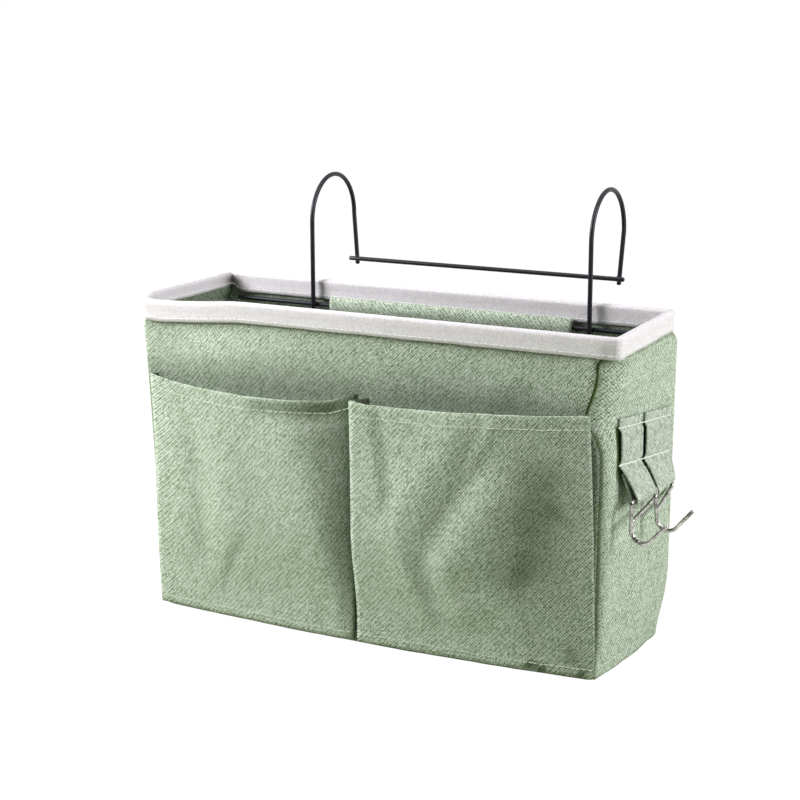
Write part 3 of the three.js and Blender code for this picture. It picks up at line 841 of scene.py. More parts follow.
# Folds of each pocket: the places (x, z) that one runs through, its half width and its height
LEFT_FOLDS = (
    (((-128, 140), (-123, 118), (-119, 79), (-117, 20)), 8, -1.3),
    (((-108, 150), (-100, 110), (-93, 60), (-101, 10)), 13, 1.3),
    (((-84, 60), (-96, 36), (-104, 16)), 5, -1.4),
    (((-86, 146), (-56, 142), (-26, 146), (-4, 152)), 7, -3.2),
)
RIGHT_FOLDS = (
    (((9, 165), (14, 140), (19, 113), (22, 80)), 5.5, -1.8),
    (((72, 178), (66, 152), (53, 128), (34, 100), (23, 74)), 13, 2.6),
    (((96, 174), (88, 152), (74, 126), (66, 112)), 4, 1.3),
    (((82, 160), (74, 124), (58, 94), (44, 66), (47, 40), (58, 14)), 9, -1.6),
    (((104, 128), (92, 109), (75, 86), (60, 62), (64, 40), (78, 10)), 15, 3.0),
    (((118, 140), (116, 112), (110, 84), (103, 60), (98, 36)), 22, -2.8),
    (((126, 118), (134, 111), (144, 103), (152, 98)), 3.5, 1.6),
    (((118, 104), (128, 100), (142, 90)), 3.5, -1.0),
    (((108, 60), (120, 48), (132, 28), (140, 10)), 7, 2.2),
    (((104, 86), (101, 76), (96, 61), (94, 54)), 3.5, 1.4),
    (((22, 100), (28, 66), (40, 36), (56, 12)), 8, 1.4),
    (((130, 20), (142, 12), (150, 8)), 6, -1.6),
)
POCKET_COLUMNS = 64
POCKET_ROWS = 66
PLEAT_COLUMNS = 6
PLEAT_BOW = 0.25
# A sewn-down side slopes to its seam over this width at the foot and at the mouth
DIVIDER_SLOPE_LOW = 12
DIVIDER_SLOPE_HIGH = 54
POCKET_FOLD_RISE = (SEAM_STITCH_Z, 25)
POCKET_FOLD_FADE = 1 / 9
LEAST_STANDOFF = 0.1
# The hem's cloth turns over the top edge at these angles, in degrees
HEM_TURN = (45, 90, 135)
HEM_PLY_GAP = 0.25
HEM_TURN_STEP = 0.3
# A valley fold this deep gets as much painted shade as a fold can
DARK_FOLD_DEPTH = 3
# Painted shade along valley folds: its depth, its share of the fold's width and the most it reaches; then
# that of the pleats
FOLD_SHADE = 0.34
FOLD_SHADE_WIDTH = 0.9
DARKEST_FOLD_SHADE = 0.4
LEFT_PLEAT_SHADE = 0.7
RIGHT_PLEAT_SHADES = (0.95, 0.6)

# The left pocket dives under its neighbour: a wide painted shade and a narrow one beside the seam
LEFT_POCKET_SEAM = ((3, -5.5), (162, -7.5))
DIVE_WIDTHS = (12, 62)
DIVE_POWER = 1.4
DIVE_SHADE = 0.36
DIVE_STEEPNESS = 1.5
DIVE_LINE = (0.4, 0.16)

# Painted shade where the right pocket turns away at its right, in a hollow, and where its cloth is bunched at
# its lower corner
TURN_SHADE = (0.18, (84, 30))
HOLLOW_SHADE = (0.12, (118, 28), (80, 46))
BUNCH_SHADE = (0.75, (92, 22), (6, 5))
BUNCH_RIPPLE = (1.4, 9, 15)
BUNCH_STEEPNESS = 1.6


# Painted shade of each pocket, 0 to 1, by place
def left_pocket_shade(x, z):
    from_seam = curve_at(LEFT_POCKET_SEAM, z) - x
    width = lerp(*DIVE_WIDTHS, (z / POCKET_TOP_Z) ** DIVE_POWER)
    wide = DIVE_SHADE * smooth(DIVE_STEEPNESS - DIVE_STEEPNESS * from_seam / width)
    return wide + DIVE_LINE[0] * hill(from_seam, width * DIVE_LINE[1])


def right_pocket_shade(x, z):
    squash, seed, size = BUNCH_RIPPLE
    depth, x_rise, z_hump = BUNCH_SHADE
    bunched = depth * smooth(ripple(x, squash * z, seed, size) * BUNCH_STEEPNESS)
    bunched *= rising(x, *x_rise) * hump(z, *z_hump)
    depth, x_hump, z_hump = HOLLOW_SHADE
    return TURN_SHADE[0] * rising(x, *TURN_SHADE[1]) + depth * hump(x, *x_hump) * hump(z, *z_hump) + bunched


# Each pocket: its left and right edges as (height, x), how far it stands off as (share, depth), its top
# edge as (x, height), whether each side is pleated, and how far each pleat tucks in
LEFT_POCKET = {
    "left": ((3, -151.2), (30, -151.8), (60, -150.8), (100, -150.2), (162, -151.5)),
    "right": LEFT_POCKET_SEAM,
    "depths": ((0, 3.5), (0.12, 5.5), (0.35, 9), (0.6, 11), (1, 11)),
    "tops": (
        (-156, 158.6), (-143, 155.3), (-123, 152.5), (-97, 150.9), (-73, 150.4), (-53, 151.0),
        (-39, 151.6), (-23, 153.0), (-13, 156.5), (-5, 158),
    ),
    "pleats": (True, False),
    "tucks": (1.5, 0),
    "folds": LEFT_FOLDS,
    "ripples": "left_pocket",
    "shade": left_pocket_shade,
}
RIGHT_POCKET = {
    "left": ((3, -3.4), (85, -4.8), (162, -7.6)),
    "right": ((3, 150.4), (85, 148.1), (162, 143.6)),
    "depths": ((0, 11), (0.3, 12.5), (0.55, 11.5), (0.8, 7.5), (0.97, 3.4), (1, 3.2)),
    "tops": ((-9, 156.2), (0, 154.9), (20, 155.0), (47, 155.8), (77, 157.4), (115, 158.8), (143, 161)),
    "pleats": (True, True),
    "tucks": (7, 3),
    "folds": RIGHT_FOLDS,
    "ripples": "right_pocket",
    "shade": right_pocket_shade,
}


def sewn_hold(distance, z):
    """How far a sewn-down side lets the pocket stand off: it falls ever steeper towards its seam."""
    width = lerp(DIVIDER_SLOPE_LOW, DIVIDER_SLOPE_HIGH, smooth(z / POCKET_TOP_Z))
    return 1 - (1 - np.clip(distance / width, 0, 1)) ** 2


def pocket_x(shape, share, z):
    return lerp(curve_at(shape["left"], z), curve_at(shape["right"], z), share)


def pocket_spot(shape, share, z):
    """A place on the pocket's front, its wall's face behind it, and how far the pocket has risen."""
    x = pocket_x(shape, share, z)
    left_pleat, right_pleat = shape["pleats"]
    left_hold = 1 if left_pleat else sewn_hold(x - curve_at(shape["left"], z), z)
    right_hold = 1 if right_pleat else sewn_hold(curve_at(shape["right"], z) - x, z)
    rise = rising(z, POCKET_FLAT_HEIGHT, POCKET_RISE_HEIGHT)
    full = curve_at(shape["depths"], share)
    depth = PLEAT_SLIT + (full - PLEAT_SLIT) * rise * left_hold * right_hold
    back = front_face_y(x, z) - SEAM_GAP
    y = back - depth - POCKET_THICKNESS + POCKET_CLOTH / 2
    proud = folds_of(shape["folds"], x, z) + rippled(shape["ripples"], x, z)
    proud *= rising(z, *POCKET_FOLD_RISE) * fading(share, POCKET_FOLD_FADE)
    y = min(y - proud, back - POCKET_CLOTH / 2 - LEAST_STANDOFF)
    return np.array((x, y + turned_under(z), z)), back, rise


def pleat(edge, back, rise, tuck):
    """The pleat behind a fold edge: back to the wall, and in by tuck behind the pocket's front."""
    places = []
    for t in shares(PLEAT_COLUMNS)[1:]:
        x = edge[0] + rise * tuck * (t + PLEAT_BOW * math.sin(math.pi * t))
        places.append(np.array((x, lerp(edge[1], back - POCKET_CLOTH / 2, t), edge[2])))
    return places


def pocket_row(shape, level):
    """One row of the pocket across its front, from pleat to pleat. level is 0 at the foot, 1 at the top."""
    spots = []
    for share in shares(POCKET_COLUMNS):
        z = POCKET_FOOT
        # The top's height depends on x, and x on the height, so both are closed in on
        for _ in range(3):
            z = lerp(POCKET_FOOT, curve_at(shape["tops"], pocket_x(shape, share, z)), level)
        spots.append(pocket_spot(shape, share, z))
    row = [spot[0] for spot in spots]
    left_pleat, right_pleat = shape["pleats"]
    left_tuck, right_tuck = shape["tucks"]
    if left_pleat:
        row = pleat(*spots[0], left_tuck)[::-1] + row
    if right_pleat:
        row = row + pleat(*spots[-1], -right_tuck)
    return row


def pocket_painted_shade(shape, place):
    """Depth of the painted shade in a pocket's colour, 0 to 1: along its valley folds, and the pocket's own
    painted shade.
    """
    x, _, z = place
    painted_shade = 0
    for path, width, height in shape["folds"]:
        if height < 0:
            depth = min(1, -height / DARK_FOLD_DEPTH)
            painted_shade += depth * fold(x, z, path, width * FOLD_SHADE_WIDTH, FOLD_SHADE)
    return min(1, min(DARKEST_FOLD_SHADE, painted_shade) + shape["shade"](x, z))


def pocket(name, shape, material):
    levels = np.linspace(0, 1, POCKET_ROWS + 1)
    rows = [pocket_row(shape, level) for level in levels]
    steps = list(np.abs(np.diff([row[len(row) // 2][2] for row in rows])))
    # The hem is turned over the top edge and comes down inside
    reach = POCKET_CLOTH + HEM_PLY_GAP
    turn = []
    for angle in HEM_TURN:
        a = math.radians(angle)
        shift = np.array((0, reach / 2 * (1 - math.cos(a)), reach / 2 * math.sin(a)))
        turn.append([place + shift for place in rows[-1]])
    hem_rows = np.flatnonzero((1 - levels) * (POCKET_TOP_Z - POCKET_FOOT) < HEM_HEIGHT)
    inner = [[place + np.array((0, reach, 0)) for place in rows[i]] for i in reversed(hem_rows)]
    steps += [HEM_TURN_STEP * steps[0]] * len(turn) + [steps[0]] * len(inner)
    middle = rows[len(levels) // 2]
    points = np.array(rows + turn + inner)
    uv = uv_grid(run_along(middle) + middle[0][0], np.cumsum([POCKET_FOOT, *steps]))
    painted_shades = np.array([[pocket_painted_shade(shape, place) for place in row] for row in points])
    # Painted shade in the pleats, which lie back behind the fold edges
    left_pleat, right_pleat = shape["pleats"]
    if right_pleat:
        painted_shades[:, -PLEAT_COLUMNS:] = np.linspace(*RIGHT_PLEAT_SHADES, PLEAT_COLUMNS)
    if left_pleat:
        painted_shades[:, :PLEAT_COLUMNS] = LEFT_PLEAT_SHADE
    return thicken(grid_piece(name, points, uv, material, painted_shades=painted_shades), POCKET_CLOTH)


# Wires

DOME_ANGLES = (25, 50, 80)
DOME_SHARE = 0.6
UPRIGHT_LIMIT = 0.9
BEAD_PARTING = 0.04
WIRE_SIDES = 14
SMALL_WIRE_SIDES = 16
RIM_WIRE_SIDES = 12
BAR_STEPS = 40
TIE_STEPS = 30
# Beads of weld metal at the bar and at the tie bar: rise and radii
BAR_BEAD = (0.9, (1.5, 1.3, 1.5))
TIE_BEAD = (0.6, (1.5, 1.2, 1.6))


def tube_part(path, radius, sides=WIRE_SIDES, dome=True):
    """A round wire along a list of points, with domed ends: points, faces and uvs."""
    path = [np.asarray(p, float) for p in path]
    tangents = []
    for k in range(len(path)):
        way = path[min(k + 1, len(path) - 1)] - path[max(k - 1, 0)]
        tangents.append(way / np.linalg.norm(way))
    rings = [(place, tangent, radius) for place, tangent in zip(path, tangents)]
    if dome:
        for angle in DOME_ANGLES:
            reach = radius * DOME_SHARE * math.sin(math.radians(angle))
            narrow = radius * math.cos(math.radians(angle))
            rings.insert(0, (path[0] - tangents[0] * reach, tangents[0], narrow))
            rings.append((path[-1] + tangents[-1] * reach, tangents[-1], narrow))
    upright = abs(tangents[0][2]) >= UPRIGHT_LIMIT
    side = np.cross(tangents[0], (1.0, 0.0, 0.0) if upright else (0.0, 0.0, 1.0))
    points = []
    for centre, tangent, ring_radius in rings:
        side = side - tangent * side.dot(tangent)
        side /= np.linalg.norm(side)
        other = np.cross(tangent, side)
        for i in range(sides):
            a = 2 * math.pi * i / sides
            points.append(centre + side * ring_radius * math.cos(a) + other * ring_radius * math.sin(a))
    lengths = run_along([centre for centre, _, _ in rings])
    around = 2 * math.pi * radius / sides * np.arange(sides + 1)
    uvs = grid_corners([[(length, turn) for turn in around] for length in lengths])
    uvs += [(0, 0)] * sides + [(lengths[-1], 0)] * sides
    faces = grid_faces(len(rings), sides, closed=True)
    last = (len(rings) - 1) * sides
    faces += [tuple(reversed(range(sides))), tuple(range(last, last + sides))]
    return points, faces, uvs


def blob_part(centre, radii, sides=12, rings=8):
    """A small bead of weld metal: an ellipsoid."""
    points, faces, uvs = [], [], []
    for j in range(rings + 1):
        a = math.pi * (j + BEAD_PARTING) / (rings + 2 * BEAD_PARTING)
        for i in range(sides):
            b = 2 * math.pi * i / sides
            way = np.array((math.sin(a) * math.cos(b), math.sin(a) * math.sin(b), math.cos(a)))
            points.append(np.asarray(centre) + way * np.asarray(radii))
    for j in range(rings):
        for i in range(sides):
            k = (i + 1) % sides
            faces.append((j * sides + i, (j + 1) * sides + i, (j + 1) * sides + k, j * sides + k))
            uvs += [(i, j), (i, j + 1), (i + 1, j + 1), (i + 1, j)]
    last = rings * sides
    faces += [tuple(range(sides)), tuple(reversed(range(last, last + sides)))]
    uvs += [(0, 0)] * (2 * sides)
    return points, faces, uvs


def straight(start, end, steps):
    return [lerp(np.asarray(start, float), np.asarray(end, float), t) for t in shares(steps)]


def rail_hook_path(x, inward):
    radius = HOOK_GAP / 2
    arc_z = BAR_Z + HOOK_RISE - radius
    tip_z = BAR_Z + HOOK_RISE - TIP_DROP
    middle_y = LEG_Y + radius
    foot_z = BAR_Z - LEG_STUB + WIRE_RADIUS
    flat = [(LEG_Y, lerp(foot_z, arc_z, t)) for t in shares(14)[:-1]]
    turn = np.linspace(0, math.pi, 33)
    flat += [(middle_y - radius * math.cos(a), arc_z + radius * math.sin(a)) for a in turn]
    flat += [(LEG_Y + HOOK_GAP, lerp(arc_z, tip_z, t)) for t in shares(10)[1:]]
    path = []
    for y, z in flat:
        toe = inward * HOOK_TOE_IN * np.clip((arc_z - z) / (arc_z - tip_z), 0, 1) if y > middle_y else 0
        path.append((x + toe, y, z))
    return path


def bracket_wires(material):
    """The bracket's four wires, each with the name of its solid."""
    half = BAR_LENGTH / 2
    bar = tube_part(straight((-half, BAR_Y, BAR_Z), (half, BAR_Y, BAR_Z), BAR_STEPS), WIRE_RADIUS)
    made = [(joined("casing_bar_wire", [bar], material), "casing_bar")]
    rise, radii = BAR_BEAD
    for name, side in (("left_rail_hook", -1), ("right_rail_hook", 1)):
        x = BRACKET_SHIFT + side * HOOK_SPACING / 2
        hook = tube_part(rail_hook_path(x, -side), WIRE_RADIUS)
        bead = blob_part((x, (LEG_Y + BAR_Y) / 2, BAR_Z + rise), radii)
        made.append((joined(name + "_wire", [hook, bead], material), name))
    apart = HOOK_SPACING / 2 - HOOK_TOE_IN
    half = apart + TIE_OVERHANG + WIRE_RADIUS
    tie_y = LEG_Y + HOOK_GAP - 2 * WIRE_RADIUS - WELD_GAP
    tie_z = BAR_Z + HOOK_RISE - TIP_DROP + TIP_STUB
    ends = [(BRACKET_SHIFT + side * half, tie_y, tie_z) for side in (-1, 1)]
    parts = [tube_part(straight(*ends, TIE_STEPS), WIRE_RADIUS)]
    rise, radii = TIE_BEAD
    for side in (-1, 1):
        parts.append(blob_part((BRACKET_SHIFT + side * apart, tie_y + WIRE_RADIUS, tie_z + rise), radii))
    made.append((joined("tie_bar_wire", parts, material), "tie_bar"))
    return made


# Straps and their hooks

STRAP_COLUMNS = 22
STRAP_PLY_SHARE = 0.8
# Places down each length of a strap
STRAP_END_STEPS = 4
STRAP_LOOP_STEPS = 17
STRAP_FLAP_STEPS = 13
STRAP_HEM_STEPS = 8
STRAP_BACK_STEPS = 6


def hem_of(middle_y, out, twist):
    """Middle and bearing of the bar that a strap's hem holds."""
    z = STRAP_LOWER_STITCH_Z - STRAP_SLOPE * (middle_y - STRAP_PAIR_Y) - STRAP_FLAP_LENGTH
    slant = right_face_x(middle_y + STRAP_WIDTH / 2, z) - right_face_x(middle_y - STRAP_WIDTH / 2, z)
    bearing = math.atan2(slant, STRAP_WIDTH) - math.radians(twist)
    return np.array((right_face_x(middle_y, z) + out, middle_y, z)), bearing


def rounded(start, corner, end, steps=5):
    """A bend from start to end that a corner draws out."""
    for t in shares(steps):
        yield tuple((1 - t) ** 2 * a + 2 * t * (1 - t) * b + t**2 * c for a, b, c in zip(start, corner, end))


def small_hook_path(middle, bearing, lean):
    """The hook from its tip: round its bend, up its shank, round the loop, and back to the shank."""
    half = SMALL_LOOP_WIDTH / 2
    bend = SMALL_LOOP_BEND
    stop = math.radians(HOOK_BEND_END)
    bend_end = np.array((HOOK_BEND + HOOK_BEND * math.cos(stop), -SHANK_LENGTH - HOOK_BEND * math.sin(stop)))
    tip = bend_end + HOOK_TIP_LENGTH * np.array((math.sin(stop), math.cos(stop)))
    hook = straight(tip, bend_end, 8)
    for a in np.linspace(2 * math.pi - stop, math.pi, 22)[1:]:
        hook.append((HOOK_BEND + HOOK_BEND * math.cos(a), -SHANK_LENGTH + HOOK_BEND * math.sin(a)))
    loop = [(-half, lerp(-SHANK_LENGTH, -bend, t)) for t in shares(8)[1:-1]]
    loop += rounded((-half, -bend), (-half, 0), (-half + bend, 0))
    loop += [(lerp(-half + bend, half - bend, t), 0) for t in shares(8)[1:-1]]
    loop += rounded((half - bend, 0), (half, 0), (half, -bend))
    low = -SMALL_LOOP_SIDE
    turned = (half - bend, low - bend / 2)
    loop += rounded((half, low + bend / 2), (half, low), turned)
    return_end = (-half + SMALL_WIRE_RADIUS + 2 * SEAM_GAP, -SMALL_LOOP_DEPTH)
    loop += straight(turned, return_end, 10)[1:]
    route = [(x, -half, z) for x, z in hook] + [(0, y, z) for y, z in loop]
    lean = math.radians(lean)
    placed = []
    for x, y, z in route:
        x, z = x * math.cos(lean) - z * math.sin(lean), x * math.sin(lean) + z * math.cos(lean)
        placed.append((
            middle[0] + x * math.cos(bearing) + y * math.sin(bearing),
            middle[1] - x * math.sin(bearing) + y * math.cos(bearing),
            middle[2] + z,
        ))
    return placed


def strap_line(share, y, width, hem, bearing):
    """One line down a strap: along the wall, out to the hem, round the hook's bar, and up behind."""
    lift = -STRAP_SLOPE * (y - STRAP_PAIR_Y)
    middle = STRAP_CLOTH / 2 + SEAM_GAP
    places = []

    def on_wall(offset, z):
        places.append(np.array((right_face_x(y, z + lift) + offset, y, z + lift)))

    for t in shares(STRAP_END_STEPS):
        on_wall(middle + STRAP_END_LIFT * (1 - smooth(t)), lerp(STRAP_TOP_Z, STRAP_STITCH_Z, t))
    for t in shares(STRAP_LOOP_STEPS)[1:-1]:
        loop = STRAP_LOOP_STANDOFF * fading(t, STRAP_LOOP_FADE)
        on_wall(middle + loop, lerp(STRAP_STITCH_Z, STRAP_LOWER_STITCH_Z, t))
    on_wall(middle, STRAP_LOWER_STITCH_Z)
    # The flap hangs from the lower stitches to the hem round the hook's bar
    along = np.array((math.sin(bearing), math.cos(bearing), 0))
    out = np.array((math.cos(bearing), -math.sin(bearing), 0))
    spot = hem + along * (share - 0.5) * width * STRAP_HEM_SHARE
    radius = SMALL_WIRE_RADIUS + SEAM_GAP + STRAP_CLOTH / 2
    start = places[-1]
    for t in shares(STRAP_FLAP_STEPS)[1:-1]:
        bow = np.array((STRAP_FLAP_BOW * math.sin(math.pi * t), 0, 0))
        places.append(lerp(start, spot + out * radius, t) + bow)
    for t in shares(STRAP_HEM_STEPS):
        a = math.pi * t
        places.append(spot + out * radius * math.cos(a) - np.array((0, 0, radius * math.sin(a))))
    for t in shares(STRAP_BACK_STEPS)[1:]:
        places.append(lerp(spot - out * radius, start, STRAP_BACK_SHARE * t) - out * STRAP_BACK_GAP)
    return places


def strap(name, middle_y, width, hem, bearing, material):
    across = shares(STRAP_COLUMNS)
    lines = [strap_line(share, middle_y + (share - 0.5) * width, width, hem, bearing) for share in across]
    points = np.array(lines).transpose(1, 0, 2)
    uv = uv_grid(np.array(across) * width, -run_along(points[:, STRAP_COLUMNS // 2]))
    piece = grid_piece(name, points[::-1], uv[::-1], material)
    return thicken(piece, STRAP_CLOTH * STRAP_PLY_SHARE)


# Casing

CASING_COLUMNS = 72
CASING_ARC_PLACES = 11
CASING_PLY_SHARE = 0.8
# Shares of the way between the tail and the bar, up behind it and down before it
CASING_BACK_SHARES = (0.1, 0.35, 0.6, 0.85)
CASING_FRONT_SHARES = (0.15, 0.4, 0.65, 0.9)
CASING_TAIL_STEP = 1


def bar_casing(material):
    radius = WIRE_RADIUS + SEAM_GAP + CASING_CLOTH / 2
    wall_y = WALL_HALF_DEPTH + BACK_SHOULDER - CLOTH / 2 - SEAM_GAP
    back_y, front_y = wall_y - CASING_CLOTH / 2, wall_y - 1.5 * CASING_CLOTH
    tail_z = BAR_Z - CASING_TAIL
    profile = [(back_y, tail_z - CASING_FLANGE), (back_y, tail_z - CASING_TAIL_STEP)]
    profile += [(lerp(back_y, BAR_Y + radius, t), lerp(tail_z, BAR_Z, t)) for t in CASING_BACK_SHARES]
    for a in np.linspace(0, math.pi, CASING_ARC_PLACES):
        profile.append((BAR_Y + radius * math.cos(a), BAR_Z + (radius + CASING_SLACK) * math.sin(a)))
    profile += [(lerp(BAR_Y - radius, front_y, t), lerp(BAR_Z, tail_z, t)) for t in CASING_FRONT_SHARES]
    profile += [(front_y, tail_z - CASING_TAIL_STEP), (front_y, tail_z - CASING_FLANGE)]
    xs = BRACKET_SHIFT + (np.array(shares(CASING_COLUMNS)) - 0.5) * CASING_LENGTH
    points = np.array([[(x, y, z) for x in xs] for y, z in profile])
    piece = grid_piece("casing_cloth", points, uv_grid(xs, run_along(profile)), material)
    return thicken(piece, CASING_CLOTH * CASING_PLY_SHARE)


# Stitches

STITCH_RADIUS = 0.32
STITCH_LENGTH = 2.5
STITCH_PITCH = 3.3
BAG_STITCH = (STITCH_PITCH, STITCH_LENGTH, STITCH_RADIUS)
STRAP_STITCH = (2.9, 2.6, 0.45)
BINDING_STITCH = (STITCH_PITCH, STITCH_LENGTH, 0.26)
# Shares of a stitch's length where its thread has a place
STITCH_SHARES = (0, 0.2, 0.5, 0.8, 1)
STITCH_SIDES = 5
STITCH_RISE = 1.1
STITCH_SINK = 0.7
STITCH_ROUNDNESS = 0.6
STITCH_SHIFT = 0.12
SHIFT_TURN = 2.3
DRIFT_TURN = 1.9
POCKET_DRIFT = 0.12
WALL_DRIFT = 0.1
BINDING_DRIFT = 0.06
# How far threads lie off the cloth that they cross
THREAD_LIFT = 0.05
BACK_LIFT = 0.1
CASING_LIFT = 0.25

# The height whose x says where along its edge a pocket's stitch is
SEAM_GUIDE_Z = 150
HEM_SEAM_MARGIN = 0.01
FOOT_SEAM_MARGIN = 0.005
HEM_STITCH_DROP = 7.2
BINDING_STITCH_RISE = 2.2
FOOT_SWAY = 0.4
FOOT_SWAY_LENGTH = 19
POCKET_SEAM_PLACES = 90
WALL_SEAM_PLACES = 50
CASING_SEAM_PLACES = 60
BACK_SEAM_PLACES = 120
# Seams across the right wall: height, and where they start and end
RIGHT_SEAMS = ((192.2, -36, 42), (177, -38, 42), (SEAM_STITCH_Z, -40, 34))
BACK_SEAM = (-140, 134)
STRAP_SEAM_END_Y = 41
CASING_SEAM_INSET = 2
CASING_SEAM_PLIES = 2.2


def stitch_parts(path, normals, stitch, wander, seed):
    """Short thread tubes along a path, which dip into the cloth at both ends. normals is one way
    for the whole path, or one for each place."""
    path = np.array(path, float)
    normals = np.broadcast_to(np.array(normals, float), path.shape)
    pitch, length, radius = stitch
    run = run_along(path)
    parts = []
    for k in range(int(run[-1] / pitch)):
        start = (k + 0.5) * pitch + STITCH_SHIFT * pitch * math.sin(k * SHIFT_TURN + seed)
        drift = np.array((0, 0, wander * math.sin(k * DRIFT_TURN + seed * 2)))
        places = []
        for t in STITCH_SHARES:
            s = start + (t - 0.5) * length
            place, normal = (np.array([np.interp(s, run, row) for row in rows.T]) for rows in (path, normals))
            lift = radius * (STITCH_RISE * math.sin(math.pi * t) ** STITCH_ROUNDNESS - STITCH_SINK)
            places.append(place + normal / np.linalg.norm(normal) * lift + drift)
        parts.append(tube_part(places, radius, STITCH_SIDES, dome=False))
    return parts


def pocket_seam(shape, z_at, margin):
    """A path along the outside of a pocket, from margin to margin, as shares of its width."""
    path = []
    for share in np.linspace(margin, 1 - margin, POCKET_SEAM_PLACES):
        z = z_at(pocket_x(shape, share, SEAM_GUIDE_Z))
        path.append(pocket_spot(shape, share, z)[0] - np.array((0, POCKET_CLOTH / 2, 0)))
    return path


def seams_on_bag():
    parts = []
    for seed, shape in ((1, LEFT_POCKET), (2, RIGHT_POCKET)):
        hem = pocket_seam(shape, lambda x: curve_at(shape["tops"], x) - HEM_STITCH_DROP, HEM_SEAM_MARGIN)
        foot = pocket_seam(
            shape, lambda x: SEAM_STITCH_Z + FOOT_SWAY * math.sin(x / FOOT_SWAY_LENGTH), FOOT_SEAM_MARGIN
        )
        parts += stitch_parts(hem, (0, -1, 0), BAG_STITCH, POCKET_DRIFT, seed)
        parts += stitch_parts(foot, (0, -1, 0), BAG_STITCH, POCKET_DRIFT, seed + 4)
    for z, first, last in RIGHT_SEAMS:
        ys = np.linspace(first, last, WALL_SEAM_PLACES)
        path = [(right_face_x(y, z) + wall_ripple("right", y, z), y, z) for y in ys]
        parts += stitch_parts(path, (1, 0, 0), BAG_STITCH, WALL_DRIFT, 9)
    # Along the casing's tail, behind and before the back wall, and along the back wall's foot
    back_y = WALL_HALF_DEPTH + BACK_SHOULDER + CLOTH / 2
    casing_z = BAR_Z - CASING_TAIL - CASING_FLANGE / 2
    half = CASING_LENGTH / 2 - CASING_SEAM_INSET
    for y, facing in ((back_y, 1), (back_y - CLOTH - CASING_SEAM_PLIES * CASING_CLOTH, -1)):
        xs = np.linspace(BRACKET_SHIFT - half, BRACKET_SHIFT + half, CASING_SEAM_PLACES)
        path = [(x, y + CASING_LIFT * facing, casing_z) for x in xs]
        parts += stitch_parts(path, (0, facing, 0), BAG_STITCH, WALL_DRIFT, 10)
    path = [(x, back_y + BACK_LIFT, SEAM_STITCH_Z) for x in np.linspace(*BACK_SEAM, BACK_SEAM_PLACES)]
    return parts + stitch_parts(path, (0, 1, 0), BAG_STITCH, WALL_DRIFT, 11)


def seams_on_straps():
    parts = []
    for seed, z in ((20, STRAP_STITCH_Z), (21, STRAP_LOWER_STITCH_Z)):
        path = []
        for y in np.linspace(STRAP_SLOT_Y + 1, STRAP_SEAM_END_Y, WALL_SEAM_PLACES):
            height = z - STRAP_SLOPE * (y - STRAP_PAIR_Y)
            path.append((right_face_x(y, height) + SEAM_GAP + STRAP_CLOTH + THREAD_LIFT, y, height))
        parts += stitch_parts(path, (1, 0, 0), STRAP_STITCH, WALL_DRIFT, seed)
    return parts


def seams_on_binding():
    parts = []
    spots = rim_spots()
    spots.append(spots[0])
    leg = CLOTH / 2 + SEAM_GAP + TAPE_THICKNESS + THREAD_LIFT
    z = TAPE_FOOT_Z + BINDING_STITCH_RISE
    for facing in (1, -1):
        path = [
            (*(place + normal * leg * facing), z + (hem_rise(place[0], z) if facing < 0 else 0))
            for place, normal in spots
        ]
        normals = [(*(normal * facing), 0) for _, normal in spots]
        parts += stitch_parts(path, normals, BINDING_STITCH, BINDING_DRIFT, 30 + facing)
    return parts


# Materials


